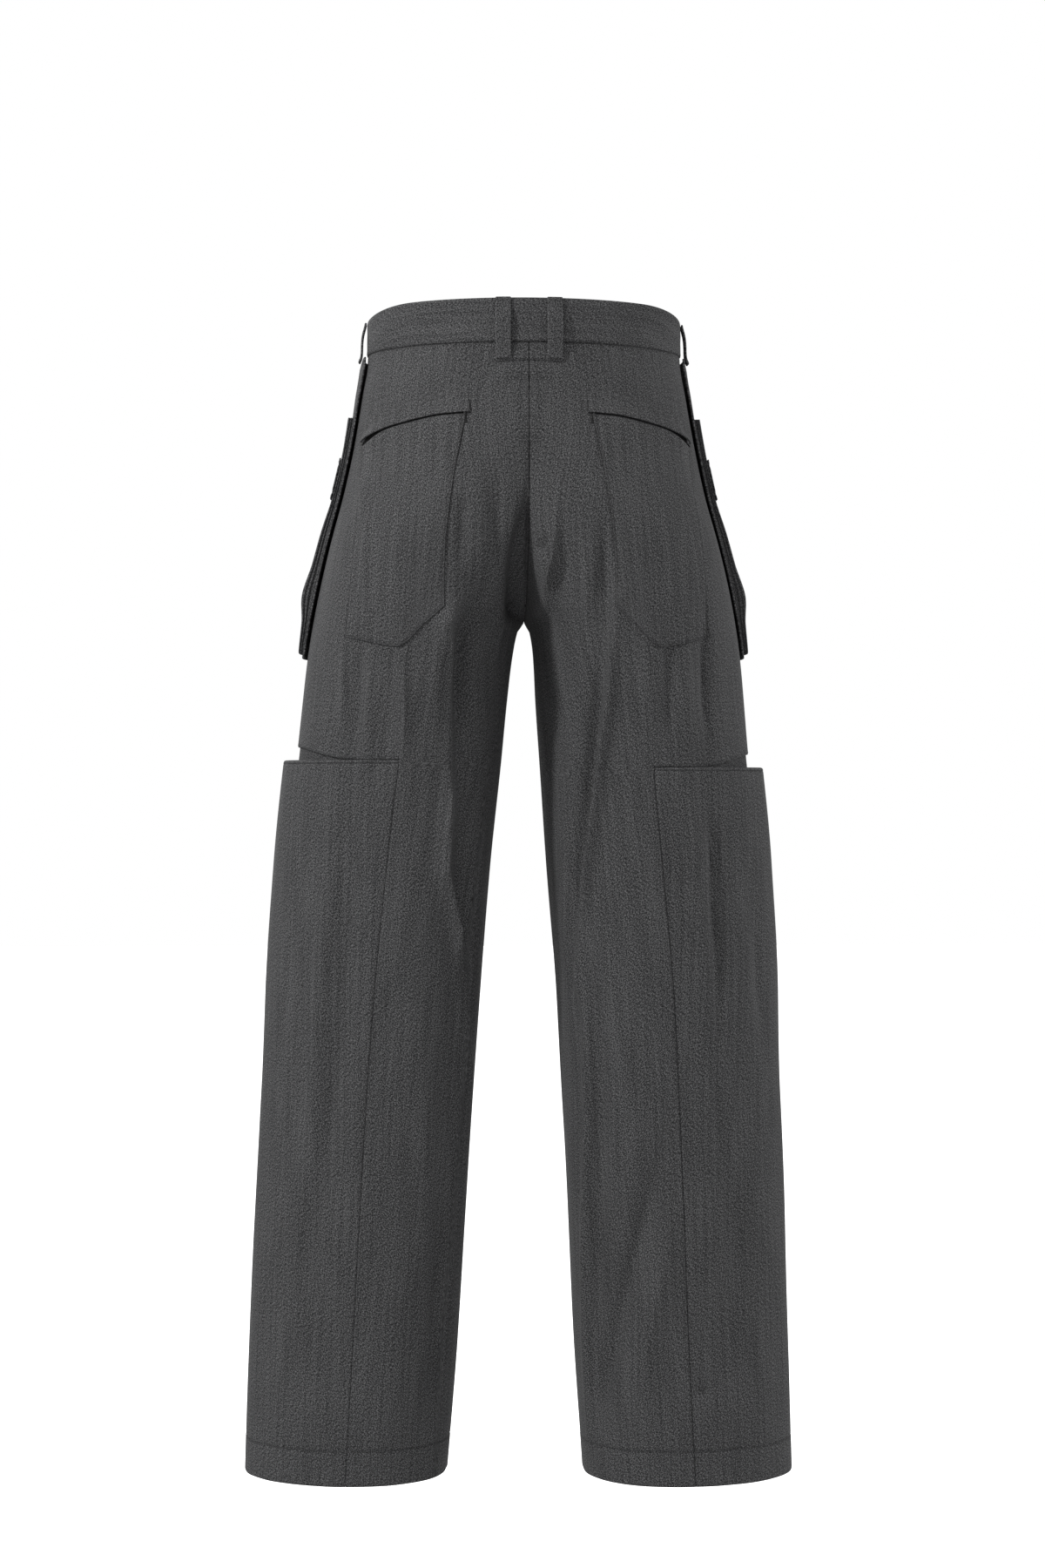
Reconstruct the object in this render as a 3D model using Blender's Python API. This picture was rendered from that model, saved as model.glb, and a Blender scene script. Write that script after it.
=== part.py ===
"""Wide-legged work trousers, hollow, in the pose in which they are worn.

Metres, +Z up, the front of the garment towards -Y, the wearer's left towards +X. The origin is the
centre of the waist, at half the height of the waistband's sides. Every cloth piece is a closed wall
whose outer face follows one body form, which is worked out from the table of sections below.
"""
import math
from collections import namedtuple
from functools import lru_cache

import bmesh
import bpy
from mathutils import Vector

# ---- Driving dimensions ----
CLOTH = 0.0016          # a single layer of the cloth
THIN_CLOTH = 0.0012     # pocket pieces and the fly
BAND_OUTER = 0.0008     # how far the waistband stands proud of the legs
BAND_INNER = 0.0018     # how far it reaches inwards
SEAM = 0.0003           # what parts two pieces at a seam
LAY = 0.0003            # what parts a piece from the panel that it lies on
BAND_END = 0.018        # where the band's ends meet, to the right of the centre front
LOOP_WIDTH = 0.0138
LOOP_THICK = 0.0018
LOOP_BACK_X = 0.0227
LOOP_FRONT_X = 0.0850
BUTTON_RADIUS = 0.0085
BUTTON_THICK = 0.0032
BUTTON_ROUNDING = 0.0008
BUTTON_SIDES = 24

# Each belt loop: how far it goes past the band's top and its seam, and how far its inner face
# stands off the legs' form, from its top end to its foot.
ON_BAND = BAND_OUTER + LAY
FLAT_REACH = (0.0004, 0.0148)
FLAT_LOOP = (ON_BAND, ON_BAND, 0.0030, 0.0038, 0.0038, 0.0032, 0.0016, 2 * LAY)
PULLED_REACH = (-0.0006, 0.0052)
PULLED_LOOP = (ON_BAND, 0.0023, 0.0036, 0.0043, 0.0046, 0.0047, 0.0052, 0.0069)

WAIST_TOP = {"back": 0.0232, "side": 0.0156, "front": 0.0040}
WAIST_SEAM = {"back": -0.0160, "side": -0.0158, "front": -0.0270}
BACK_REACH = 0.075      # this far behind the side the waist is level with the centre back
FRONT_REACH = 0.110     # and this far in front of it with the centre front
HEM = {"left": -1.033, "right": -1.036}
CROTCH = -0.2585

MOUTH = {"left": -0.3850, "right": -0.3915}    # the top edge of each side panel
MOUTH_RISE = 0.0115                            # the leg's edge above it, at the side
MOUTH_START = 0.32                             # where along the back the mouth starts
MOUTH_FADE = 0.15                              # and how much further round it has its full height
PANEL_START = 0.25                             # the side panel's seam, half-way over the back
STAND_OFF = {"left": 0.0115, "right": 0.0125}  # how far the panel gapes at its mouth
STAND_OFF_FADE = 0.30                          # the gape is gone this far below the mouth
STAND_OFF_CURVE = 1.5                          # over 1, the gape starts softly at the panel's seams
FACING_DEPTH = 0.055
FACING_LAP = 0.4                               # share of a row by which the facing laps the leg

HANDLE = 0.5523         # Bezier handle of a quarter ellipse
HALF_HANDLE = 4 / 3     # and of half an ellipse
CORNER = 0.20           # how much squarer a lower leg is at its inner corners
CORNER_FADE = 0.30      # which it is from this far below the crotch
FOLD_EDGE = 0.02        # the folds flatten out this near the centre seams, in t
SOFTEN = 0.040          # sections are evened out over this height each way at the crotch,
SOFTEN_FADE = 0.16      # and not at all this far from it
SOFTEN_WEIGHTS = (1, 3, 5, 6, 5, 3, 1)
VALLEY = 0.30           # share of a section by which the centre seam's own point is followed

# One row for each level. The legs' inner edges and the seat seam meet at the crotch's row.
# turn_back and turn_front are the angles, in degrees, at which the cloth leaves the centre seam:
# 0 runs straight across it, and 90 turns back along the inside of the leg.
Section = namedtuple(
    "Section",
    "z out_left out_right in_left in_right back front centre_back centre_front turn_back turn_front",
)
SECTIONS = (
    Section(0.030, 0.1428, 0.1430, 0.0, 0.0, 0.1065, 0.1050, 0.1065, -0.1050, 0, 0),
    Section(-0.0165, 0.1430, 0.1432, 0.0, 0.0, 0.1065, 0.1050, 0.1065, -0.1050, 0, 0),
    Section(-0.055, 0.1488, 0.1490, 0.0, 0.0, 0.1120, 0.1100, 0.1115, -0.1100, 0, 0),
    Section(-0.100, 0.1562, 0.1570, 0.0, 0.0, 0.1200, 0.1140, 0.1170, -0.1135, 9, 4),
    Section(-0.145, 0.1660, 0.1662, 0.0, 0.0, 0.1265, 0.1165, 0.1160, -0.1130, 27, 12),
    Section(-0.185, 0.1768, 0.1770, 0.0, 0.0, 0.1290, 0.1180, 0.1040, -0.1060, 48, 26),
    Section(-0.220, 0.1852, 0.1855, 0.0, 0.0, 0.1272, 0.1188, 0.0770, -0.0850, 68, 48),
    Section(-0.243, 0.1902, 0.1905, 0.0, 0.0, 0.1246, 0.1191, 0.0460, -0.0560, 80, 70),
    Section(-0.254, 0.1924, 0.1926, 0.0, 0.0, 0.1231, 0.1191, 0.0200, -0.0260, 87, 84),
    Section(-0.2585, 0.1932, 0.1934, 0.0, 0.0, 0.1224, 0.1191, 0.0, 0.0, 90, 90),
    Section(-0.268, 0.1950, 0.1950, 0.0062, 0.0052, 0.1209, 0.1189, 0.0, 0.0, 90, 90),
    Section(-0.290, 0.1984, 0.1980, 0.0108, 0.0085, 0.1172, 0.1183, 0.0, 0.0, 90, 90),
    Section(-0.330, 0.2028, 0.2015, 0.0155, 0.0105, 0.1110, 0.1164, 0.0, 0.0, 90, 90),
    Section(-0.385, 0.2088, 0.2062, 0.0207, 0.0142, 0.1045, 0.1120, 0.0, 0.0, 90, 90),
    Section(-0.480, 0.2206, 0.2184, 0.0307, 0.0205, 0.0970, 0.1040, 0.0, 0.0, 90, 90),
    Section(-0.600, 0.2345, 0.2314, 0.0402, 0.0302, 0.0900, 0.0960, 0.0, 0.0, 90, 90),
    Section(-0.760, 0.2448, 0.2385, 0.0512, 0.0388, 0.0850, 0.0880, 0.0, 0.0, 90, 90),
    Section(-0.920, 0.2520, 0.2435, 0.0610, 0.0462, 0.0820, 0.0830, 0.0, 0.0, 90, 90),
    Section(-1.040, 0.2556, 0.2474, 0.0708, 0.0548, 0.0800, 0.0800, 0.0, 0.0, 90, 90),
)

# The largest folds. Each runs down a leg from z_top to z_low, at the place round the leg given by
# t_top and t_low (0 is the centre back or inseam, 0.5 the side, 1 the centre front or inseam).
Fold = namedtuple("Fold", "leg z_top z_low t_top t_low width height")
FOLDS = (
    Fold("left", -0.52, -0.90, 0.075, 0.060, 0.035, 0.0045),
    Fold("left", -0.56, -0.98, 0.135, 0.120, 0.040, -0.0030),
    Fold("right", -0.66, -1.00, 0.060, 0.070, 0.035, 0.0040),
    Fold("right", -0.38, -0.62, 0.120, 0.090, 0.045, 0.0035),
    Fold("left", -0.235, -0.34, 0.130, 0.100, 0.030, -0.0045),
    Fold("right", -0.23, -0.36, 0.340, 0.345, 0.025, -0.0030),
    Fold("left", -0.27, -0.39, 0.330, 0.335, 0.030, -0.0025),
    Fold("right", -0.70, -0.96, 0.320, 0.330, 0.040, -0.0030),
    Fold("left", -0.55, -0.93, 0.330, 0.310, 0.045, -0.0030),
    Fold("left", -0.50, -0.92, 0.930, 0.940, 0.035, 0.0040),
    Fold("right", -0.54, -0.96, 0.925, 0.935, 0.035, 0.0040),
    Fold("left", -0.30, -0.58, 0.800, 0.820, 0.045, 0.0035),
    Fold("right", -0.29, -0.60, 0.790, 0.810, 0.045, 0.0035),
    Fold("left", -0.62, -0.98, 0.680, 0.670, 0.045, -0.0030),
    Fold("right", -0.58, -0.95, 0.690, 0.680, 0.045, -0.0030),
)

# The holsters' distances from the leg, down their length: the backing's two faces, and the outer
# face of the pouch.
Hang = namedtuple("Hang", "z back_in back_out pouch_out")
HANG = (
    Hang(-0.0170, 0.0005, 0.0047, 0.0100),
    Hang(-0.0260, 0.0032, 0.0080, 0.0100),
    Hang(-0.0480, 0.0040, 0.0074, 0.0100),
    Hang(-0.0700, 0.0042, 0.0068, 0.0098),
    Hang(-0.1090, 0.0042, 0.0062, 0.0094),
    Hang(-0.1460, 0.0044, 0.0064, 0.0098),
    Hang(-0.1750, 0.0054, 0.0074, 0.0114),
    Hang(-0.2050, 0.0062, 0.0082, 0.0122),
    Hang(-0.2330, 0.0082, 0.0104, 0.0152),
    Hang(-0.2600, 0.0054, 0.0074, 0.0106),
    Hang(-0.2930, 0.0036, 0.0054, 0.0086),
)
HOLSTER_START = -0.014   # its back edge, round from the side seam; the front is positive
HOLSTER_WIDTH = 0.145
HOLSTER_COLUMNS = 8
HOLSTER_TOP = -0.0172
HOLSTER_FOOT = -0.2920
POUCH_TOP = -0.0725
POUCH_INSET = 0.004
STRIP_TOP = -0.1090
STRIP_FOOT = -0.1460

# The back pockets, from the mouth's inner end outwards. across is the share of the pocket's width.
PocketEdge = namedtuple("PocketEdge", "across mouth foot")
POCKET_EDGES = (
    PocketEdge(0.00, -0.0786, -0.2500),
    PocketEdge(0.18, -0.0796, -0.2655),
    PocketEdge(0.44, -0.0840, -0.2865),
    PocketEdge(0.72, -0.0895, -0.2822),
    PocketEdge(1.00, -0.0990, -0.2765),
)
PocketSide = namedtuple("PocketSide", "z inner outer")
POCKET_SIDES = (
    PocketSide(-0.0786, 0.0550, 0.1445),
    PocketSide(-0.1050, 0.0600, 0.1465),
    PocketSide(-0.1320, 0.0655, 0.1490),
    PocketSide(-0.2080, 0.0745, 0.1570),
    PocketSide(-0.2500, 0.0755, 0.1605),
    PocketSide(-0.2870, 0.0755, 0.1650),
)
POCKET_GAPE = 0.0030     # how far the mouth stands off where it stands off most
GAPE_PLACE = 0.86        # where that is, across the pocket
GAPE_WIDTH = 0.16

FLY_WIDTH = 0.036
FLY_FOOT = -0.185

# ---- Meshing ----
COLUMNS = 16             # columns over the back or front half of a leg
POCKET_FROM = 3          # the columns that follow the back pocket's inner
POCKET_TO = 13           # and outer edge
MOUTH_FROM = 10          # the column where the side facing starts
FLY_COLUMNS = 3
FLY_ROWS = 7
WAIST_ROWS = 3           # rows from the waist seam to the level of the back pocket's mouth
SEAT_ROWS = 9            # from there to its foot and the crotch
THIGH_ROWS = 4           # from there to the side pocket's mouth
LEG_ROWS = 11            # from there to the hem
BAND_ROWS = 3
FACING_ROWS = 5
THIGH_SPREAD = 1.2       # over 1, the thigh's rows are closer at its top
PANEL_FIRST_ROW = 0.45   # the side panel's first row, as a share of the leg's
T_STEP = 0.002           # step with which lengths round a section are measured
ROUND_STEPS = 12
HALVINGS = 30
SHARP_ANGLE = 40
FOOT_ROW = WAIST_ROWS + SEAT_ROWS
MOUTH_ROW = FOOT_ROW + THIGH_ROWS
ROWS = MOUTH_ROW + LEG_ROWS + 1


# ---- Small helpers ----
def lerp(a, b, f):
    return a + (b - a) * f


def smooth(f):
    f = min(max(f, 0.0), 1.0)
    return f * f * (3 - 2 * f)


def read_table(rows, key, value, at):
    """Value at a place between a table's rows, on a smooth curve through them."""
    keys = [getattr(row, key) for row in rows]
    values = [getattr(row, value) for row in rows]
    rising = keys[-1] > keys[0]
    at = min(max(at, min(keys)), max(keys))
    last = len(rows) - 2
    i = next((n for n in range(last) if (at <= keys[n + 1]) == rising or at == keys[n + 1]), last)

    def slope(n):
        if n in (0, last + 1):
            near = min(max(n, 1), last + 1)
            return (values[near] - values[near - 1]) / (keys[near] - keys[near - 1])
        before = (values[n] - values[n - 1]) / (keys[n] - keys[n - 1])
        after = (values[n + 1] - values[n]) / (keys[n + 1] - keys[n])
        if before * after <= 0:
            return 0.0
        return 2 * before * after / (before + after)

    span = keys[i + 1] - keys[i]
    f = (at - keys[i]) / span
    return (
        (2 * f**3 - 3 * f**2 + 1) * values[i]
        + (f**3 - 2 * f**2 + f) * span * slope(i)
        + (3 * f**2 - 2 * f**3) * values[i + 1]
        + (f**3 - f**2) * span * slope(i + 1)
    )


# ---- The body form ----
@lru_cache(maxsize=None)
def sharp_quarter(leg, z, half):
    """Control points of the back or front half of a leg's section, from the centre to the side."""
    inner = max(read_table(SECTIONS, "z", "in_" + leg, z), SEAM / 2)
    outer = read_table(SECTIONS, "z", "out_" + leg, z)
    way = 1 if half == "back" else -1
    reach = read_table(SECTIONS, "z", half, z)
    centre = way * read_table(SECTIONS, "z", "centre_" + half, z)
    turn = math.radians(read_table(SECTIONS, "z", "turn_" + half, z))
    turned = math.sin(turn)
    corner = CORNER * smooth((CROTCH - z) / CORNER_FADE)
    first = lerp(HANDLE * (outer - inner), (HALF_HANDLE + corner) * (reach - centre), turned)
    second = reach * lerp(HANDLE, HALF_HANDLE - corner, turned)
    return (
        Vector((inner, way * centre)),
        Vector((inner + first * math.cos(turn), way * (centre + first * math.sin(turn)))),
        Vector((outer, way * second)),
        Vector((outer, 0.0)),
    )


@lru_cache(maxsize=None)
def quarter(leg, z, half):
    """The control points evened out over the height, and what that leaves of the centre's point."""
    reach = SOFTEN * (1 - smooth(abs(z - CROTCH) / SOFTEN_FADE))
    steps = (len(SOFTEN_WEIGHTS) - 1) / 2
    near = [sharp_quarter(leg, z + reach * (k / steps - 1), half) for k in range(len(SOFTEN_WEIGHTS))]
    points = []
    for i in range(4):
        total = sum((row[i] * weight for row, weight in zip(near, SOFTEN_WEIGHTS)), Vector((0, 0)))
        points.append(total / sum(SOFTEN_WEIGHTS))
    return (*points, sharp_quarter(leg, z, half)[0] - points[0])


def section_point(leg, t, z):
    """Point and outward normal at t round a leg's section, on the plane of z."""
    half = "back" if t <= 0.5 else "front"
    a, b, c, d, rest = quarter(leg, z, half)
    u = 2 * t if half == "back" else 2 * (1 - t)
    v = 1 - u
    near = max(0.0, 1 - u / VALLEY)
    point = v**3 * a + 3 * v * v * u * b + 3 * v * u * u * c + u**3 * d + near**3 * rest
    along = v * v * (b - a) + 2 * v * u * (c - b) + u * u * (d - c) - near**2 / VALLEY * rest
    normal = Vector((-along.y, along.x)) if half == "back" else Vector((along.y, -along.x))
    return point, normal.normalized()


def fold_height(leg, t, z):
    total = 0.0
    for fold in FOLDS:
        if fold.leg != leg or not fold.z_low < z < fold.z_top:
            continue
        down = (fold.z_top - z) / (fold.z_top - fold.z_low)
        away = (t - lerp(fold.t_top, fold.t_low, down)) / fold.width
        total += fold.height * math.sin(math.pi * down) * math.exp(-away * away)
    edge = smooth(t / FOLD_EDGE) * smooth((1 - t) / FOLD_EDGE)
    return total * edge


def body_point(leg, t, z, off=0.0):
    """Point on the body form, moved out by off."""
    point, normal = section_point(leg, t, z)
    point = point + normal * (off + fold_height(leg, t, z))
    return Vector((point.x if leg == "left" else -point.x, point.y, z))


def stand_off(leg, t, z):
    """How far the side panel stands off the leg."""
    down = smooth((MOUTH[leg] - z) / STAND_OFF_FADE)
    over = math.sin(math.pi * (t - PANEL_START) / (1 - 2 * PANEL_START))
    return STAND_OFF[leg] * (1 - down) * max(over, 0.0) ** STAND_OFF_CURVE


def shifted(leg, t, z, distance):
    """The t that lies a distance further round the section."""
    step = T_STEP if t < 0.5 else -T_STEP
    here = body_point(leg, t, z)
    pace = (body_point(leg, t + step, z) - here).length / abs(step)
    return t + distance / pace


def t_at_distance(leg, start, z, distance):
    """The t that lies a longer distance round the section, stepped along it."""
    t = start
    for _ in range(ROUND_STEPS):
        t = shifted(leg, t, z, distance / ROUND_STEPS)
    return t


def t_at_x(leg, z, x, half="back"):
    """The t at which the back or front of the section has this distance from the centre plane."""
    low, high = (0.0, 0.5) if half == "back" else (1.0, 0.5)
    for _ in range(HALVINGS):
        middle = (low + high) / 2
        if abs(section_point(leg, middle, z)[0].x) < x:
            low = middle
        else:
            high = middle
    return (low + high) / 2


def waist_line(levels, t):
    """Height of the waistband's edge at t: level over the back, dipping at the side and front."""
    y = section_point("left", t, 0.0)[0].y
    if t <= 0.5:
        return lerp(levels["side"], levels["back"], smooth(y / BACK_REACH))
    return lerp(levels["side"], levels["front"], smooth(-y / FRONT_REACH))


def mouth_rise(t):
    """How far the leg's own edge rises over the side pocket's mouth."""
    from_side = abs(t - 0.5)
    return MOUTH_RISE * smooth((0.5 - MOUTH_START - from_side) / MOUTH_FADE)


# ---- Making walls ----
def finish(name, bm, material):
    bmesh.ops.recalc_face_normals(bm, faces=bm.faces)
    mesh = bpy.data.meshes.new(name)
    bm.to_mesh(mesh)
    bm.free()
    mesh.shade_smooth()
    mesh.set_sharp_from_angle(angle=math.radians(SHARP_ANGLE))
    mesh.materials.append(material)
    piece = bpy.data.objects.new(name, mesh)
    bpy.context.collection.objects.link(piece)
    return piece


def cloth_wall(name, outer, inner, material, keep=None):
    """A closed wall between two grids of points. keep(row, column) says which cells it has."""
    bm = bmesh.new()
    cells = {
        (r, c)
        for r in range(len(outer) - 1)
        for c in range(len(outer[0]) - 1)
        if keep is None or keep(r, c)
    }
    made = {}

    def vertex(face, r, c):
        if (face, r, c) not in made:
            made[face, r, c] = bm.verts.new((outer, inner)[face][r][c])
        return made[face, r, c]

    for r, c in sorted(cells):
        corners = ((r, c), (r + 1, c), (r + 1, c + 1), (r, c + 1))
        beyond = ((r, c - 1), (r + 1, c), (r, c + 1), (r - 1, c))
        for i in range(4):
            if beyond[i] not in cells:
                first, second = corners[i], corners[(i + 1) % 4]
                bm.faces.new((vertex(0, *second), vertex(0, *first), vertex(1, *first), vertex(1, *second)))
        for half in (corners[:3], (corners[0], *corners[2:])):
            bm.faces.new([vertex(0, *corner) for corner in half])
            bm.faces.new([vertex(1, *corner) for corner in reversed(half)])
    return finish(name, bm, material)


def grid(rows, columns, point):
    return [[point(r, c) for c in range(columns)] for r in range(rows)]


def plain_material(name, colour, roughness):
    material = bpy.data.materials.new(name)
    material.use_nodes = True
    shader = material.node_tree.nodes["Principled BSDF"]
    shader.inputs["Base Color"].default_value = (*colour, 1)
    shader.inputs["Roughness"].default_value = roughness
    shader.inputs["Metallic"].default_value = 0
    return material


# ---- Legs ----
def bent_columns(c, stops):
    """Share of the way for column c, spread evenly between (column, t) stops."""
    for (c1, t1), (c2, t2) in zip(stops, stops[1:]):
        if c <= c2:
            return lerp(t1, t2, (c - c1) / (c2 - c1))
    return stops[-1][1]


def column_t(leg, half, c, z):
    """Where column c lies at z. Down to the crotch, columns follow the back pocket's two edges and
    the fly's edge."""
    even = c / COLUMNS / 2
    seat_z = min(max(z, POCKET_SIDES[-1].z), POCKET_SIDES[0].z)
    if half == "back":
        inner = t_at_x(leg, seat_z, read_table(POCKET_SIDES, "z", "inner", seat_z))
        outer = t_at_x(leg, seat_z, read_table(POCKET_SIDES, "z", "outer", seat_z))
        bent = bent_columns(c, ((0, 0), (POCKET_FROM, inner), (POCKET_TO, outer), (COLUMNS, 0.5)))
        return lerp(even, bent, smooth((z - MOUTH[leg]) / (seat_z - MOUTH[leg])))
    edge = t_at_x(leg, max(z, FLY_FOOT), FLY_WIDTH, "front")
    bent = bent_columns(c, ((0, 1), (FLY_COLUMNS, edge), (COLUMNS, 0.5)))
    return lerp(1 - even, bent, smooth((z - CROTCH) / (FLY_FOOT - CROTCH)))


def row_height(leg, half, r, c):
    """Height of a row at a column: rows follow the waist seam, the pocket and the side mouth."""
    share = (c - POCKET_FROM) / (POCKET_TO - POCKET_FROM)
    mouth, foot = POCKET_EDGES[0].mouth, CROTCH
    if half == "back":
        mouth = read_table(POCKET_EDGES, "across", "mouth", share)
        foot = read_table(POCKET_EDGES, "across", "foot", share)
        foot = lerp(CROTCH, foot, min(c / POCKET_FROM, 1))
    if r <= WAIST_ROWS:
        top = waist_line(WAIST_SEAM, column_t(leg, half, c, mouth)) - SEAM
        return lerp(top, mouth, r / WAIST_ROWS)
    if r <= FOOT_ROW:
        return lerp(mouth, foot, math.sin(math.pi / 2 * (r - WAIST_ROWS) / SEAT_ROWS))
    if r <= MOUTH_ROW:
        edge = MOUTH[leg] + mouth_rise(c / COLUMNS / 2)
        return lerp(foot, edge, ((r - FOOT_ROW) / THIGH_ROWS) ** THIGH_SPREAD)
    return lerp(MOUTH[leg], HEM[leg], (r - MOUTH_ROW) / LEG_ROWS)


def leg_place(leg, half, r, c):
    """t and z of a leg's grid point."""
    z = row_height(leg, half, r, c)
    return column_t(leg, half, c, z), z


def leg_half(leg, half, material):
    """A back or front leg: a half of the section above the side pocket, a quarter of it below."""
    way = 1 if half == "back" else -1

    def point(r, c, off):
        t, z = leg_place(leg, half, r, c)
        if c == 0:
            t = shifted(leg, t, z, way * SEAM / 2)
        elif c == COLUMNS or (c == COLUMNS // 2 and r > MOUTH_ROW):
            t = shifted(leg, t, z, -way * SEAM / 2)
        return body_point(leg, t, z, off)

    def keep(r, c):
        return r < MOUTH_ROW or c < COLUMNS // 2

    outer = grid(ROWS, COLUMNS + 1, lambda r, c: point(r, c, 0))
    inner = grid(ROWS, COLUMNS + 1, lambda r, c: point(r, c, -CLOTH))
    return cloth_wall(f"{half}_{leg}", outer, inner, material, keep)


def side_panel(leg, material):
    """The lower leg's outer panel, which stands off at its top as the side pocket's mouth."""
    levels = [row_height(leg, "front", r, 0) for r in range(MOUTH_ROW, ROWS)]
    levels = [levels[0] - SEAM, lerp(levels[0], levels[1], PANEL_FIRST_ROW)] + levels[1:]

    def point(r, c, off):
        z = levels[r]
        t = lerp(PANEL_START, 1 - PANEL_START, c / COLUMNS)
        if c in (0, COLUMNS):
            t = shifted(leg, t, z, SEAM / 2 if c == 0 else -SEAM / 2)
        return body_point(leg, t, z, stand_off(leg, t, z) + off)

    outer = grid(len(levels), COLUMNS + 1, lambda r, c: point(r, c, 0))
    inner = grid(len(levels), COLUMNS + 1, lambda r, c: point(r, c, -CLOTH))
    return cloth_wall(f"side_panel_{leg}", outer, inner, material)


def side_facing(leg, material):
    """The strip inside the side pocket's mouth, on the legs' own points at its top."""
    behind = CLOTH + 2 * LAY
    columns = list(range(MOUTH_FROM, COLUMNS + 1)) + list(range(COLUMNS - 1, MOUTH_FROM - 1, -1))

    def point(r, i, depth):
        half = "back" if i <= COLUMNS - MOUTH_FROM else "front"
        edge = body_point(leg, *leg_place(leg, half, MOUTH_ROW, columns[i]), -depth)
        if r < 2:
            above = body_point(leg, *leg_place(leg, half, MOUTH_ROW - 1, columns[i]), -depth)
            return edge.lerp(above, (FACING_LAP, 0)[r])
        t = column_t(leg, half, columns[i], MOUTH[leg])
        z = lerp(edge.z, MOUTH[leg] - FACING_DEPTH, (r - 1) / (FACING_ROWS - 1))
        return body_point(leg, t, z, -depth)

    outer = grid(FACING_ROWS + 1, len(columns), lambda r, i: point(r, i, behind))
    inner = grid(FACING_ROWS + 1, len(columns), lambda r, i: point(r, i, behind + THIN_CLOTH))
    return cloth_wall(f"side_facing_{leg}", outer, inner, material)


# ---- Waist ----
def waistband(material):
    """The band, one strip whose ends meet just past the centre front."""
    meeting = t_at_x("right", 0.0, BAND_END, "front")
    back = [column_t("left", "back", c, POCKET_EDGES[0].mouth) for c in range(COLUMNS + 1)]
    front = [column_t("left", "front", c, 0.0) for c in range(COLUMNS)]
    half_round = back + sorted(front)
    places = [("right", shifted("right", meeting, 0.0, SEAM / 2))]
    places += [("right", t) for t in half_round if t > meeting]
    places += [("left", t) for t in reversed(half_round[:-1])]
    places += [("right", t) for t in half_round[1:] if t < meeting]
    places += [("right", shifted("right", meeting, 0.0, -SEAM / 2))]

    def point(r, c, off):
        leg, t = places[c]
        z = lerp(waist_line(WAIST_TOP, t), waist_line(WAIST_SEAM, t), r / BAND_ROWS)
        return body_point(leg, t, z, off)

    outer = grid(BAND_ROWS + 1, len(places), lambda r, c: point(r, c, BAND_OUTER))
    inner = grid(BAND_ROWS + 1, len(places), lambda r, c: point(r, c, -BAND_INNER))
    return cloth_wall("waistband", outer, inner, material)


def belt_loop(name, leg, x, half, reach, offsets, material):
    """A strap over the band at a distance x from the centre plane, or on the side seam. reach says
    how far it goes past the band's two edges, and offsets how far its inner face stands off."""
    rows = len(offsets)
    middle = t_at_x(leg, 0.0, x, half) if x else 0.5
    top = waist_line(WAIST_TOP, middle) + reach[0]
    foot = waist_line(WAIST_SEAM, middle) - reach[1]

    def point(r, c, thick):
        z = lerp(top, foot, r / (rows - 1))
        here = t_at_x(leg, z, x, half) if x else 0.5
        t = t_at_distance(leg, here, z, (c - 1) * LOOP_WIDTH / 2)
        return body_point(leg, t, z, offsets[r] + thick)

    outer = grid(rows, 3, lambda r, c: point(r, c, LOOP_THICK))
    inner = grid(rows, 3, lambda r, c: point(r, c, 0))
    return cloth_wall(name, outer, inner, material)


def belt_loops(material):
    """Six loops: two beside the centre back, sewn flat, and four that the holsters pull outwards."""
    for leg in ("left", "right"):
        belt_loop(f"belt_loop_back_{leg}", leg, LOOP_BACK_X, "back", FLAT_REACH, FLAT_LOOP, material)
        belt_loop(f"belt_loop_side_{leg}", leg, 0, "front", PULLED_REACH, PULLED_LOOP, material)
        belt_loop(f"belt_loop_front_{leg}", leg, LOOP_FRONT_X, "front", PULLED_REACH, PULLED_LOOP, material)


def fly(material):
    """The fly's placket, on the left front beside the centre seam, its lower corner cut off."""
    def point(r, c, off):
        t, z = leg_place("left", "front", r, c)
        return body_point("left", t, z, off)

    def keep(r, c):
        return r < FLY_ROWS - 1 or c < FLY_COLUMNS - 1

    outer = grid(FLY_ROWS + 1, FLY_COLUMNS + 1, lambda r, c: point(r, c, LAY + THIN_CLOTH))
    inner = grid(FLY_ROWS + 1, FLY_COLUMNS + 1, lambda r, c: point(r, c, LAY))
    return cloth_wall("fly", outer, inner, material, keep)


def waist_button(material):
    """The button that closes the band."""
    height = (WAIST_TOP["front"] + WAIST_SEAM["front"]) / 2
    face = body_point("left", 1.0, height, ON_BAND).y
    bm = bmesh.new()
    bmesh.ops.create_cone(bm, cap_ends=True, segments=BUTTON_SIDES, radius1=BUTTON_RADIUS,
                          radius2=BUTTON_RADIUS, depth=BUTTON_THICK)
    rim = [edge for edge in bm.edges if all(abs(v.co.z - BUTTON_THICK / 2) < 1e-6 for v in edge.verts)]
    bmesh.ops.bevel(bm, geom=rim, offset=BUTTON_ROUNDING, segments=2, profile=0.5, affect="EDGES")
    piece = finish("waist_button", bm, material)
    piece.rotation_euler = (math.pi / 2, 0, 0)
    piece.location = (0, face - LAY - BUTTON_THICK / 2, height)
    return piece


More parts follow.
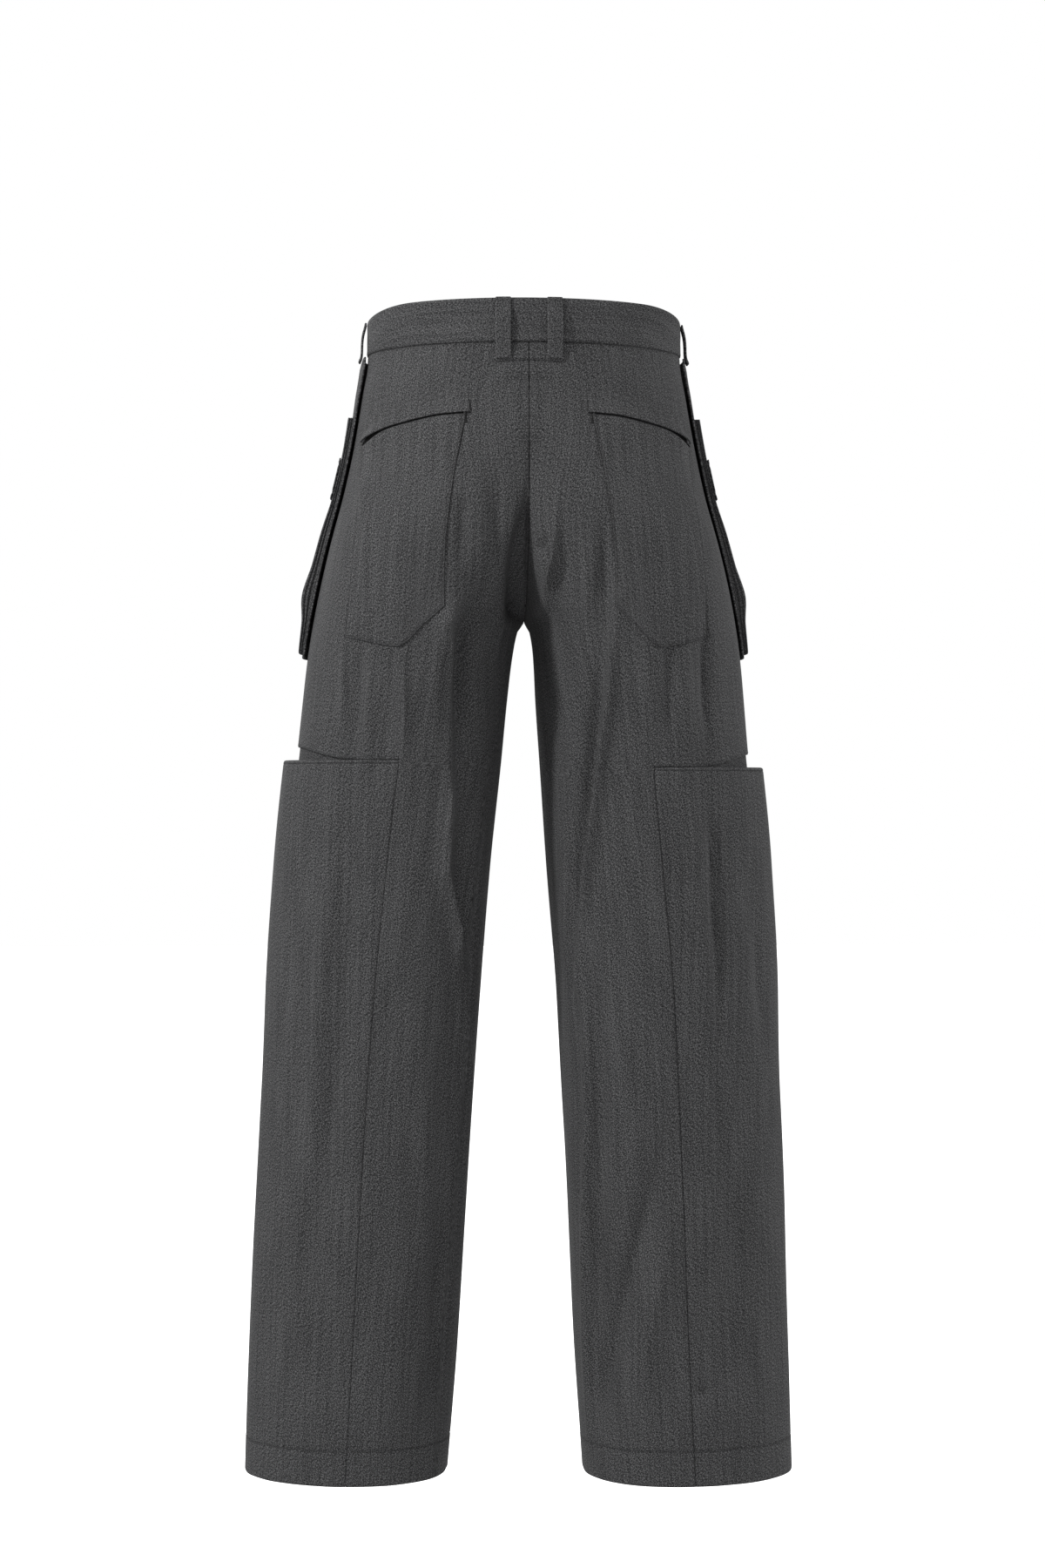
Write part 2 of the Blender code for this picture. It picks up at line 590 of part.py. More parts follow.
# ---- Pockets ----
def back_pocket(leg, material):
    """A pocket piece on the seat, on the back's own points, its mouth slightly open."""
    def point(r, c, off):
        share = c / (POCKET_TO - POCKET_FROM)
        gape = POCKET_GAPE * math.exp(-((share - GAPE_PLACE) / GAPE_WIDTH) ** 2) * max(0.0, 1 - r / 2)
        out = LAY + gape + off
        here = body_point(leg, *leg_place(leg, "back", r + WAIST_ROWS, c + POCKET_FROM), out)
        if r == 0:
            below = body_point(leg, *leg_place(leg, "back", 1 + WAIST_ROWS, c + POCKET_FROM), out)
            here = here.lerp(below, gape / (here - below).length)
        return here

    size = (SEAT_ROWS + 1, POCKET_TO - POCKET_FROM + 1)
    outer = grid(*size, lambda r, c: point(r, c, THIN_CLOTH))
    inner = grid(*size, lambda r, c: point(r, c, 0))
    return cloth_wall(f"back_pocket_{leg}", outer, inner, material)


def hanging_point(leg, s, z, off):
    """Point at a distance round from the side seam, towards the front. Heights near the waist seam
    follow it down at the front."""
    t = t_at_distance(leg, 0.5, z, s)
    follow = smooth((z - POUCH_TOP) / (HOLSTER_TOP - POUCH_TOP))
    return body_point(leg, t, z + (waist_line(WAIST_SEAM, t) - WAIST_SEAM["side"]) * follow, off)


def holster_places(inset):
    """Distances round from the side seam of the holster's columns, its edges moved in by inset."""
    places = [HOLSTER_START + HOLSTER_WIDTH * c / HOLSTER_COLUMNS for c in range(HOLSTER_COLUMNS + 1)]
    return [places[0] + inset] + places[1:-1] + [places[-1] - inset]


def holster_back(leg, material):
    """The holster's backing, hung from the waist seam, with a thick hem at its top."""
    places = holster_places(0)
    levels = [HOLSTER_TOP] + [row.z for row in HANG if HOLSTER_FOOT < row.z < HOLSTER_TOP] + [HOLSTER_FOOT]

    def face(column):
        def point(r, c):
            return hanging_point(leg, places[c], levels[r], read_table(HANG, "z", column, levels[r]))

        return grid(len(levels), len(places), point)

    return cloth_wall(f"holster_back_{leg}", face("back_out"), face("back_in"), material)


def holster_pouch(leg, material):
    """The pouch on the backing: a shallow tray whose sides and foot turn in to the backing."""
    places = holster_places(POUCH_INSET)
    places = [places[0]] + places + [places[-1]]
    levels = [POUCH_TOP] + [row.z for row in HANG if HOLSTER_FOOT < row.z <= STRIP_TOP]
    levels.append(HOLSTER_FOOT + POUCH_INSET)
    last_row, last_column = len(levels), len(places) - 1

    def point(r, c, wall):
        z = levels[min(r, last_row - 1)]
        s = min(max(places[c], places[0] + wall), places[-1] - wall)
        if c in (0, last_column) or r == last_row:
            off = read_table(HANG, "z", "back_out", z) + LAY
        else:
            off = read_table(HANG, "z", "pouch_out", z) - wall
        if r >= last_row - 1:
            z += wall
        return hanging_point(leg, s, z, off)

    outer = grid(last_row + 1, len(places), lambda r, c: point(r, c, 0))
    inner = grid(last_row + 1, len(places), lambda r, c: point(r, c, THIN_CLOTH))
    return cloth_wall(f"holster_pouch_{leg}", outer, inner, material)


def holster_strip(leg, material):
    """The strip across the pouch."""
    places = holster_places(POUCH_INSET)
    levels = [STRIP_TOP, STRIP_FOOT]

    def point(r, c, off):
        z = levels[r]
        return hanging_point(leg, places[c], z, read_table(HANG, "z", "pouch_out", z) + off)

    outer = grid(len(levels), len(places), lambda r, c: point(r, c, LAY + CLOTH))
    inner = grid(len(levels), len(places), lambda r, c: point(r, c, LAY))
    return cloth_wall(f"holster_strip_{leg}", outer, inner, material)


def build():
    for old in list(bpy.data.objects):
        bpy.data.objects.remove(old, do_unlink=True)
    cloth = plain_material("grey_cloth", (0.075, 0.075, 0.078), 0.92)
    lining = plain_material("pocket_cloth", (0.060, 0.060, 0.062), 0.95)
    horn = plain_material("button_horn", (0.030, 0.030, 0.031), 0.35)
    waistband(cloth)
    belt_loops(cloth)
    fly(cloth)
    waist_button(horn)
    for leg in ("left", "right"):
        for half in ("back", "front"):
            leg_half(leg, half, cloth)
        side_panel(leg, cloth)
        side_facing(leg, lining)
        back_pocket(leg, cloth)
        holster_back(leg, cloth)
        holster_pouch(leg, cloth)
        holster_strip(leg, cloth)


build()
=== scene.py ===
import math
from functools import lru_cache

import bmesh
import bpy
from mathutils import Matrix, Vector, noise


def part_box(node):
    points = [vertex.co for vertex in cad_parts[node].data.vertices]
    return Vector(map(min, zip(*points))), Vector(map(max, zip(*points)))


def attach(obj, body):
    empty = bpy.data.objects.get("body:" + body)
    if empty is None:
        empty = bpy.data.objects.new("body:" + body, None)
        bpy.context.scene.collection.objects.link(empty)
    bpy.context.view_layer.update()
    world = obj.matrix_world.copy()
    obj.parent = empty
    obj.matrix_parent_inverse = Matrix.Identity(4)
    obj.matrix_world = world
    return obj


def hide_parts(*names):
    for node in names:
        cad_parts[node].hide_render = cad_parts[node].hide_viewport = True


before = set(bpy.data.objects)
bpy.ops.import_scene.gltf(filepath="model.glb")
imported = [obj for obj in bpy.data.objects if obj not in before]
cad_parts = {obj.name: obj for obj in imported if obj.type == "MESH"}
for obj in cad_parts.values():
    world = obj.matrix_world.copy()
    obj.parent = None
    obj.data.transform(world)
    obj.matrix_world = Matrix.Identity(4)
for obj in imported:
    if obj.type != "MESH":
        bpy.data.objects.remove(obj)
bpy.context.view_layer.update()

print("frame loaded:", len(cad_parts), "nodes")

# the body form that all cloth follows
# z, outer edge left and right, inner edge left and right, depth back and front,
# centre seam back and front, and the angle at which the cloth leaves it back and front
sections = (
    (0.030, 0.1428, 0.1430, 0.0, 0.0, 0.1065, 0.1050, 0.1065, -0.1050, 0, 0),
    (-0.0165, 0.1430, 0.1432, 0.0, 0.0, 0.1065, 0.1050, 0.1065, -0.1050, 0, 0),
    (-0.055, 0.1488, 0.1490, 0.0, 0.0, 0.1120, 0.1100, 0.1115, -0.1100, 0, 0),
    (-0.100, 0.1562, 0.1570, 0.0, 0.0, 0.1200, 0.1140, 0.1170, -0.1135, 9, 4),
    (-0.145, 0.1660, 0.1662, 0.0, 0.0, 0.1265, 0.1165, 0.1160, -0.1130, 27, 12),
    (-0.185, 0.1768, 0.1770, 0.0, 0.0, 0.1290, 0.1180, 0.1040, -0.1060, 48, 26),
    (-0.220, 0.1852, 0.1855, 0.0, 0.0, 0.1272, 0.1188, 0.0770, -0.0850, 68, 48),
    (-0.243, 0.1902, 0.1905, 0.0, 0.0, 0.1246, 0.1191, 0.0460, -0.0560, 80, 70),
    (-0.254, 0.1924, 0.1926, 0.0, 0.0, 0.1231, 0.1191, 0.0200, -0.0260, 87, 84),
    (-0.2585, 0.1932, 0.1934, 0.0, 0.0, 0.1224, 0.1191, 0.0, 0.0, 90, 90),
    (-0.268, 0.1950, 0.1950, 0.0062, 0.0052, 0.1209, 0.1189, 0.0, 0.0, 90, 90),
    (-0.290, 0.1984, 0.1980, 0.0108, 0.0085, 0.1172, 0.1183, 0.0, 0.0, 90, 90),
    (-0.330, 0.2028, 0.2015, 0.0155, 0.0105, 0.1110, 0.1164, 0.0, 0.0, 90, 90),
    (-0.385, 0.2088, 0.2062, 0.0207, 0.0142, 0.1045, 0.1120, 0.0, 0.0, 90, 90),
    (-0.480, 0.2206, 0.2184, 0.0307, 0.0205, 0.0970, 0.1040, 0.0, 0.0, 90, 90),
    (-0.600, 0.2345, 0.2314, 0.0402, 0.0302, 0.0900, 0.0960, 0.0, 0.0, 90, 90),
    (-0.760, 0.2448, 0.2385, 0.0512, 0.0388, 0.0850, 0.0880, 0.0, 0.0, 90, 90),
    (-0.920, 0.2520, 0.2435, 0.0610, 0.0462, 0.0820, 0.0830, 0.0, 0.0, 90, 90),
    (-1.040, 0.2556, 0.2474, 0.0708, 0.0548, 0.0800, 0.0800, 0.0, 0.0, 90, 90),
)
bodyForm = {
    "crotch": -0.2585, "handle": 0.5523, "halfHandle": 4 / 3, "corner": 0.20, "cornerFade": 0.30,
    "soften": 0.040, "softenFade": 0.16, "softenWeights": (1, 3, 5, 6, 5, 3, 1), "valley": 0.30,
    "levelStep": 0.001, "halfGap": 0.00015,
}
waistTop = {"back": 0.0232, "side": 0.0156, "front": 0.0040}
waistSeam = {"back": -0.0160, "side": -0.0158, "front": -0.0270}
waistCurve = {"back": 0.075, "front": 0.110}      # depths over which both heights change
hemLine = {"left": -1.033, "right": -1.036}
mouthLine = {"left": -0.3850, "right": -0.3915}
mouthCurve = {"rise": 0.0115, "half": 0.18, "fade": 0.15}
panelStart = 0.25      # the side panel's seam, half-way over the back
seam = 0.0003

# large folds of each leg: top and low z, top and low place round the leg, width, height
bigFolds = {"left": (
    (-0.52, -0.90, 0.075, 0.060, 0.035, 0.0045),
    (-0.56, -0.98, 0.135, 0.120, 0.040, -0.0030),
    (-0.235, -0.34, 0.130, 0.100, 0.030, -0.0045),
    (-0.27, -0.39, 0.330, 0.335, 0.030, -0.0025),
    (-0.55, -0.93, 0.330, 0.310, 0.045, -0.0030),
    (-0.50, -0.92, 0.930, 0.940, 0.035, 0.0040),
    (-0.30, -0.58, 0.800, 0.820, 0.045, 0.0035),
    (-0.62, -0.98, 0.680, 0.670, 0.045, -0.0030),
), "right": (
    (-0.66, -1.00, 0.060, 0.070, 0.035, 0.0040),
    (-0.38, -0.62, 0.120, 0.090, 0.045, 0.0035),
    (-0.23, -0.36, 0.340, 0.345, 0.025, -0.0030),
    (-0.70, -0.96, 0.320, 0.330, 0.040, -0.0030),
    (-0.54, -0.96, 0.925, 0.935, 0.035, 0.0040),
    (-0.29, -0.60, 0.790, 0.810, 0.045, 0.0035),
    (-0.58, -0.95, 0.690, 0.680, 0.045, -0.0030),
)}

# creases of each leg: the line that each follows, as (place round the leg, z), its width and height
creases = {"left": (
    (((0.167, -0.238), (0.190, -0.254), (0.201, -0.268), (0.186, -0.301), (0.170, -0.370)), 0.006, 0.0030),
    (((0.176, -0.222), (0.210, -0.268), (0.202, -0.321), (0.192, -0.380)), 0.010, 0.0020),
    (((0.140, -0.235), (0.165, -0.275), (0.155, -0.330), (0.148, -0.400)), 0.012, -0.0042),
    (((0.180, -0.340), (0.162, -0.422), (0.157, -0.484), (0.092, -0.577), (0.062, -0.680)), 0.007, 0.0034),
    (((0.135, -0.400), (0.110, -0.520), (0.065, -0.640)), 0.014, -0.0032),
    (((0.132, -0.500), (0.112, -0.571), (0.090, -0.640)), 0.004, 0.0012),
    (((0.205, -0.560), (0.170, -0.640), (0.140, -0.760), (0.128, -0.880)), 0.016, 0.0016),
    (((0.150, -0.150), (0.161, -0.170), (0.172, -0.225)), 0.008, -0.0014),
    (((0.397, -0.111), (0.349, -0.175), (0.330, -0.250)), 0.007, 0.0009),
    (((0.364, -0.280), (0.343, -0.384)), 0.005, 0.0011),
    (((0.342, -0.270), (0.322, -0.384)), 0.007, -0.0009),
    (((0.320, -0.290), (0.299, -0.391)), 0.005, 0.0009),
    (((0.260, -0.290), (0.240, -0.391)), 0.005, 0.0014),
    (((0.285, -0.300), (0.270, -0.390)), 0.009, -0.0008),
    (((0.344, -0.395), (0.335, -0.558), (0.335, -0.697), (0.350, -0.830)), 0.011, 0.0016),
    (((0.310, -0.400), (0.300, -0.600), (0.305, -0.780)), 0.014, -0.0012),
    (((0.225, -0.588), (0.224, -0.610)), 0.004, -0.0007),
    (((0.080, -0.130), (0.095, -0.200)), 0.012, -0.0014),
    (((0.110, -0.800), (0.100, -0.900), (0.105, -1.000)), 0.018, -0.0014),
    (((0.180, -0.900), (0.190, -1.010)), 0.020, 0.0010),
    (((0.068, -0.034), (0.084, -0.053), (0.098, -0.075)), 0.0025, -0.0004),
    # the front, which the photo doesn't show, has folds of the same kind
    (((0.960, -0.225), (0.900, -0.262), (0.840, -0.290)), 0.008, 0.0022),
    (((0.975, -0.205), (0.915, -0.235), (0.860, -0.255)), 0.008, -0.0020),
    (((0.860, -0.330), (0.870, -0.450), (0.905, -0.600)), 0.010, 0.0024),
    (((0.820, -0.340), (0.835, -0.480), (0.870, -0.640)), 0.014, -0.0018),
    (((0.700, -0.400), (0.690, -0.560), (0.695, -0.740)), 0.012, -0.0015),
    (((0.755, -0.420), (0.750, -0.600), (0.745, -0.800)), 0.012, 0.0014),
    (((0.900, -0.780), (0.880, -0.880), (0.890, -0.990)), 0.016, -0.0016),
    (((0.800, -0.760), (0.835, -0.860), (0.860, -0.960)), 0.014, 0.0014),
    (((0.975, -0.060), (0.930, -0.075), (0.870, -0.082)), 0.010, -0.0007),
), "right": (
    (((0.067, -0.034), (0.083, -0.053), (0.104, -0.075)), 0.0025, -0.0004),
    (((0.210, -0.240), (0.188, -0.331), (0.160, -0.409), (0.126, -0.502), (0.090, -0.590)), 0.006, 0.0036),
    (((0.190, -0.262), (0.168, -0.331), (0.140, -0.409), (0.104, -0.502), (0.070, -0.590)), 0.010, -0.0034),
    (((0.090, -0.550), (0.106, -0.618), (0.097, -0.744), (0.080, -0.860), (0.055, -1.000)), 0.007, 0.0030),
    (((0.126, -0.600), (0.118, -0.720), (0.100, -0.860), (0.080, -0.980)), 0.012, -0.0022),
    (((0.335, -0.420), (0.333, -0.461), (0.319, -0.562), (0.313, -0.670)), 0.006, -0.0018),
    (((0.300, -0.400), (0.298, -0.500), (0.300, -0.620)), 0.010, 0.0014),
    (((0.222, -0.735), (0.178, -0.813), (0.118, -0.925), (0.082, -0.985)), 0.012, -0.0026),
    (((0.240, -0.790), (0.198, -0.880), (0.165, -0.970)), 0.012, 0.0018),
    (((0.291, -0.262), (0.276, -0.385)), 0.008, -0.0013),
    (((0.363, -0.240), (0.342, -0.384)), 0.006, -0.0016),
    (((0.320, -0.262), (0.305, -0.384)), 0.007, 0.0011),
    (((0.174, -0.182), (0.187, -0.262)), 0.007, -0.0014),
    (((0.150, -0.200), (0.160, -0.270)), 0.008, 0.0012),
    (((0.071, -0.165), (0.084, -0.205), (0.080, -0.218), (0.066, -0.235)), 0.0045, 0.0026),
    (((0.020, -0.196), (0.040, -0.198), (0.060, -0.192)), 0.004, -0.0018),
    (((0.276, -0.945), (0.262, -0.957)), 0.007, -0.0014),
    (((0.405, -0.500), (0.395, -0.640)), 0.012, -0.0012),
    # the front, which the photo doesn't show, has folds of the same kind
    (((0.965, -0.220), (0.910, -0.250), (0.850, -0.272)), 0.008, 0.0020),
    (((0.980, -0.198), (0.930, -0.222), (0.880, -0.236)), 0.007, -0.0018),
    (((0.850, -0.340), (0.865, -0.470), (0.900, -0.590)), 0.010, 0.0026),
    (((0.815, -0.330), (0.825, -0.460), (0.860, -0.600)), 0.014, -0.0018),
    (((0.690, -0.400), (0.695, -0.540), (0.685, -0.700)), 0.012, 0.0013),
    (((0.735, -0.410), (0.730, -0.580), (0.740, -0.760)), 0.012, -0.0015),
    (((0.790, -0.770), (0.830, -0.850), (0.870, -0.950)), 0.014, -0.0020),
    (((0.910, -0.800), (0.895, -0.900), (0.900, -1.000)), 0.014, 0.0014),
    (((0.970, -0.070), (0.920, -0.086), (0.860, -0.090)), 0.010, -0.0007),
)}


def lerp(a, b, f):
    return a + (b - a) * f


def smooth(f):
    f = min(max(f, 0.0), 1.0)
    return f * f * (3 - 2 * f)


def mound(x, centre, width):      # a rounded rise, 1 at its centre
    return math.exp(-((x - centre) / width) ** 2)


def fadeEnds(f, width):      # 1, falling to 0 where f comes to 0 or to 1
    return smooth(f / width) * smooth((1 - f) / width)


def between(low, high, count):      # evenly spaced values, without the two ends
    return [lerp(low, high, (k + 1) / (count + 1)) for k in range(count)]


def readTable(rows, column, at):      # a smooth curve through a table's column that doesn't overshoot
    keys = [row[0] for row in rows]
    values = [row[column] for row in rows]
    rising = keys[-1] > keys[0]
    at = min(max(at, min(keys)), max(keys))
    last = len(rows) - 2
    i = next((n for n in range(last) if (at <= keys[n + 1]) == rising or at == keys[n + 1]), last)

    def slope(n):
        if n in (0, last + 1):
            near = min(max(n, 1), last + 1)
            return (values[near] - values[near - 1]) / (keys[near] - keys[near - 1])
        before = (values[n] - values[n - 1]) / (keys[n] - keys[n - 1])
        after = (values[n + 1] - values[n]) / (keys[n + 1] - keys[n])
        return 0.0 if before * after <= 0 else 2 * before * after / (before + after)

    span = keys[i + 1] - keys[i]
    f = (at - keys[i]) / span
    return ((2 * f**3 - 3 * f**2 + 1) * values[i] + (f**3 - 2 * f**2 + f) * span * slope(i)
            + (3 * f**2 - 2 * f**3) * values[i + 1] + (f**3 - f**2) * span * slope(i + 1))


@lru_cache(maxsize=None)
def sharpQuarter(leg, z, half):      # four points of the curve from the centre seam round to the side
    form, side = bodyForm, 0 if leg == "left" else 1
    back = half == "back"
    inner = max(readTable(sections, 3 + side, z), form["halfGap"])
    outer = readTable(sections, 1 + side, z)
    way = 1 if back else -1
    reach = readTable(sections, 5 if back else 6, z)
    centre = way * readTable(sections, 7 if back else 8, z)
    turn = math.radians(readTable(sections, 9 if back else 10, z))
    turned = math.sin(turn)
    corner = form["corner"] * smooth((form["crotch"] - z) / form["cornerFade"])
    first = lerp(form["handle"] * (outer - inner), (form["halfHandle"] + corner) * (reach - centre), turned)
    second = reach * lerp(form["handle"], form["halfHandle"] - corner, turned)
    return (Vector((inner, way * centre)),
            Vector((inner + first * math.cos(turn), way * (centre + first * math.sin(turn)))),
            Vector((outer, way * second)), Vector((outer, 0.0)))


@lru_cache(maxsize=None)
def levelQuarter(leg, level, half):      # the same, softened over height near the crotch
    form, z = bodyForm, level * bodyForm["levelStep"]
    weights = form["softenWeights"]
    reach = form["soften"] * (1 - smooth(abs(z - form["crotch"]) / form["softenFade"]))
    steps = (len(weights) - 1) / 2
    near = [sharpQuarter(leg, z + reach * (k / steps - 1), half) for k in range(len(weights))]
    points = [sum((row[i] * w for row, w in zip(near, weights)), Vector((0, 0))) / sum(weights)
              for i in range(4)]
    return (*points, sharpQuarter(leg, z, half)[0] - points[0])


@lru_cache(maxsize=65536)
def quarter(leg, z, half):
    at = z / bodyForm["levelStep"]
    level = math.floor(at)
    low, high = levelQuarter(leg, level, half), levelQuarter(leg, level + 1, half)
    return tuple(p.lerp(q, at - level) for p, q in zip(low, high))


# t goes round a leg: 0 at the centre back seam, 0.5 at the side, 1 at the centre front seam
def sectionPoint(leg, t, z):      # point, outward direction, and metres round the leg for t from 0 to 1
    half = "back" if t <= 0.5 else "front"
    a, b, c, d, rest = quarter(leg, z, half)
    u = 2 * t if half == "back" else 2 * (1 - t)
    v = 1 - u
    near = max(0.0, 1 - u / bodyForm["valley"])
    point = v**3 * a + 3 * v * v * u * b + 3 * v * u * u * c + u**3 * d + near**3 * rest
    along = v * v * (b - a) + 2 * v * u * (c - b) + u * u * (d - c) - near**2 / bodyForm["valley"] * rest
    normal = Vector((-along.y, along.x)) if half == "back" else Vector((along.y, -along.x))
    return point, normal.normalized(), 6 * along.length


# strength and width scale the table of creases, and a faint ripple covers the cloth between them
creaseLook = {
    "strength": 3.3, "width": 0.86, "power": 1.5, "fade": 0.40, "ends": 0.25, "reach": 2.6, "seamFade": 0.012,
    "ripple": 0.0014, "across": 10.0, "down": 3.2, "finer": 2.3, "finerShare": 0.5,
    "seeds": {"left": 3.7, "right": 9.1}, "calmTop": -0.045, "calmFade": 0.10, "foldFade": 0.02,
}


def foldHeight(leg, t, z):
    total = 0.0
    for top, low, tTop, tLow, width, height in bigFolds[leg]:
        if low < z < top:
            down = (top - z) / (top - low)
            total += height * math.sin(math.pi * down) * mound(t, lerp(tTop, tLow, down), width)
    return total * fadeEnds(t, creaseLook["foldFade"])


def creaseHeight(leg, t, z, pace):
    look, total = creaseLook, 0.0
    for line, width, height in creases[leg]:
        width *= look["width"]
        reach = width * look["reach"]
        if not line[-1][1] - reach < z < line[0][1] + reach:
            continue
        best, at = 1.0, 0.0
        for i in range(len(line) - 1):      # the nearest point on the crease's line
            (t1, z1), (t2, z2) = line[i], line[i + 1]
            dt, dz = (t2 - t1) * pace, z2 - z1
            px, pz = (t - t1) * pace, z - z1
            f = min(max((px * dt + pz * dz) / (dt * dt + dz * dz), 0.0), 1.0)
            away = math.hypot(px - dt * f, pz - dz * f)
            if away < best:
                best, at = away, (i + f) / (len(line) - 1)
        if best < reach:
            share = lerp(look["ends"], 1.0, fadeEnds(at, look["fade"]))
            total += height * share * math.exp(-(best / width) ** look["power"])
    place = Vector((t * look["across"], z * look["down"], look["seeds"][leg]))
    ripple = noise.noise(place) + look["finerShare"] * noise.noise(place * look["finer"])
    calm = smooth((look["calmTop"] - z) / look["calmFade"])
    return (total * look["strength"] + look["ripple"] * ripple * calm) * fadeEnds(t, look["seamFade"] / pace)


# creases that cross the centre seam: z, half length, width, height, and how far the ends hang
crossCreases = (
    (-0.0332, 0.036, 0.0014, -0.0018, 0.001), (-0.0300, 0.038, 0.0022, 0.0010, 0.001),
    (-0.0500, 0.028, 0.0040, -0.0012, 0.006), (-0.0420, 0.034, 0.0045, 0.0006, 0.004),
)
crossLook = {"top": -0.020, "low": -0.075, "reach": 3, "fade": 0.012}
# The seat folds in beside its centre seam. Left of the seam is a deep groove, of which the table gives the
# edge's distance from the seam and an extra depth; right of it the cloth swells up close to the seam.
seatFold = {
    "groove": ((-0.130, 0.0010, 0.0), (-0.1524, 0.0040, 0.0030), (-0.174, 0.0100, 0.0080),
               (-0.200, 0.0165, 0.0090), (-0.225, 0.0190, 0.0060), (-0.262, 0.0190, 0.0)),
    "floorSlope": 0.20, "wall": 0.0055, "deepen": 0.003, "most": 0.042,
    "swell": ((-0.150, 0.0), (-0.190, 0.0060), (-0.220, 0.0125), (-0.245, 0.0120), (-0.264, 0.0)),
    "swellStart": 0.006, "swellAt": 0.0125, "swellWidth": 0.0100, "frontDepth": 0.007, "frontWidth": 0.0125,
    "top": -0.135, "low": -0.264, "fade": 0.018, "reach": 0.05,
}


def foldShift(leg, z, point):      # how far the cloth beside the centre back seam moves along Y
    fold, x = seatFold, point.x
    if not fold["low"] < z < fold["top"] or x > fold["reach"]:
        return 0.0
    fade = smooth((fold["top"] - z) / fold["fade"]) * smooth((z - fold["low"]) / fold["fade"])
    if leg == "right":
        rise = mound(x, fold["swellAt"], fold["swellWidth"]) * smooth(x / fold["swellStart"])
        return readTable(fold["swell"], 1, z) * rise * fade
    edge, extra = (readTable(fold["groove"], k, z) for k in (1, 2))
    within = 1 - smooth((x - edge + fold["wall"] / 2) / fold["wall"])
    floor = sectionPoint(leg, 0.0, z)[0].y + fold["floorSlope"] * x
    sink = max(point.y - floor, 0.0) + extra * smooth(x / fold["deepen"])
    return -min(sink, fold["most"]) * within * fade


def seamShift(leg, t, z, pace, point):      # how far the cloth beside either centre seam moves along Y
    fold, cross, x = seatFold, crossLook, point.x
    if t > 0.5:
        away = (1 - t) * pace
        if not fold["low"] < z < fold["top"] or away >= fold["reach"]:
            return 0.0
        down = (fold["top"] - z) / (fold["top"] - fold["low"])
        return fold["frontDepth"] * math.sin(math.pi * down) * mound(away, 0, fold["frontWidth"])
    total = foldShift(leg, z, point)
    if cross["low"] < z < cross["top"]:
        for level, half, width, height, hang in crossCreases:
            down = (z - level + hang * (x / half) ** 2) / width
            if abs(down) < cross["reach"] and abs(x) < half:
                total += height * mound(down, 0, 1) * smooth((half - abs(x)) / cross["fade"])
    return total


def bodyPoint(leg, t, z, off=0.0, fine=True):      # fine: with the creases, not only the large folds
    point, normal, pace = sectionPoint(leg, t, z)
    off += foldHeight(leg, t, z)
    shift = 0.0
    if fine:
        off += creaseHeight(leg, t, z, pace)
        shift = seamShift(leg, t, z, pace, point)
    point = point + normal * off
    return Vector((point.x if leg == "left" else -point.x, point.y + shift, z))


def placeNear(leg, t, z, distance):
    return t + distance / sectionPoint(leg, t, z)[2]


def placeRound(leg, t, z, distance, steps):      # farther round the leg, so the pace is read at each step
    for _ in range(steps):
        t = placeNear(leg, t, z, distance / steps)
    return t


def placeAtX(leg, z, x, half="back"):
    low, high = (0.0, 0.5) if half == "back" else (1.0, 0.5)
    for _ in range(22):      # halves the span each time
        middle = (low + high) / 2
        if abs(sectionPoint(leg, middle, z)[0].x) < x:
            low = middle
        else:
            high = middle
    return (low + high) / 2


def waistHeight(levels, t):
    y = sectionPoint("left", t, 0.0)[0].y
    half = "back" if t <= 0.5 else "front"
    return lerp(levels["side"], levels[half], smooth(abs(y) / waistCurve[half]))


def mouthRise(t):      # the leg's edge under a side pocket's mouth is curved up
    return mouthCurve["rise"] * smooth((mouthCurve["half"] - abs(t - 0.5)) / mouthCurve["fade"])


# materials
def setInputs(tree, node, **inputs):      # in0 is the first input, and an underscore stands for a space
    for name, value in inputs.items():
        key = int(name[2:]) if name[:2] == "in" and name[2:].isdigit() else name.replace("_", " ")
        if isinstance(value, bpy.types.NodeSocket):
            tree.links.new(value, node.inputs[key])
        else:
            node.inputs[key].default_value = value


def addNode(tree, kind, options=None, **inputs):
    node = tree.nodes.new(kind)
    for name, value in (options or {}).items():
        setattr(node, name, value)
    setInputs(tree, node, **inputs)
    return node


def addRamp(tree, fac, stops):      # stops: position and colour of each
    ramp = addNode(tree, "ShaderNodeValToRGB", Fac=fac)
    elements = ramp.color_ramp.elements
    for _ in stops[2:]:
        elements.new(0.5)
    for element, (position, colour) in zip(elements, stops):
        element.position, element.color = position, (*colour, 1)
    return ramp.outputs["Color"]


def startMaterial(name):
    material = bpy.data.materials.new(name)
    material.use_nodes = True
    return material, material.node_tree, material.node_tree.nodes["Principled BSDF"]


melange = {
    "stops": ((0.395, (0.015, 0.015, 0.016)), (0.50, (0.050, 0.050, 0.0515)), (0.635, (0.155, 0.155, 0.158))),
    # length and width of a fibre or patch, where its pattern starts, how far it is turned, and its detail
    "fleck": (0.0018, 0.0008, 0.0, -58, 1.5), "hair": (0.0012, 0.0006, 7.3, -46, 1.0),
    "cloud": (0.035, 0.060, 2.1, 0, 2.0), "streak": (0.0035, 0.110, 4.4, 0, 1.0),
    # painted shade: the last value on the next line is how far seams and stitch grooves darken the colour
    "fleckShare": 0.52, "cloudShare": 0.04, "streakShare": 0.08, "seamShadeDepth": 0.78,
    "wale": 0.00085, "waleShare": 0.35, "waves": 1.9, "waver": 1.2, "bump": 0.000006, "strength": 0.55,
    "roughness": 0.92, "shine": 0.25, "sheen": 0.02, "sheenRoughness": 0.40,
}


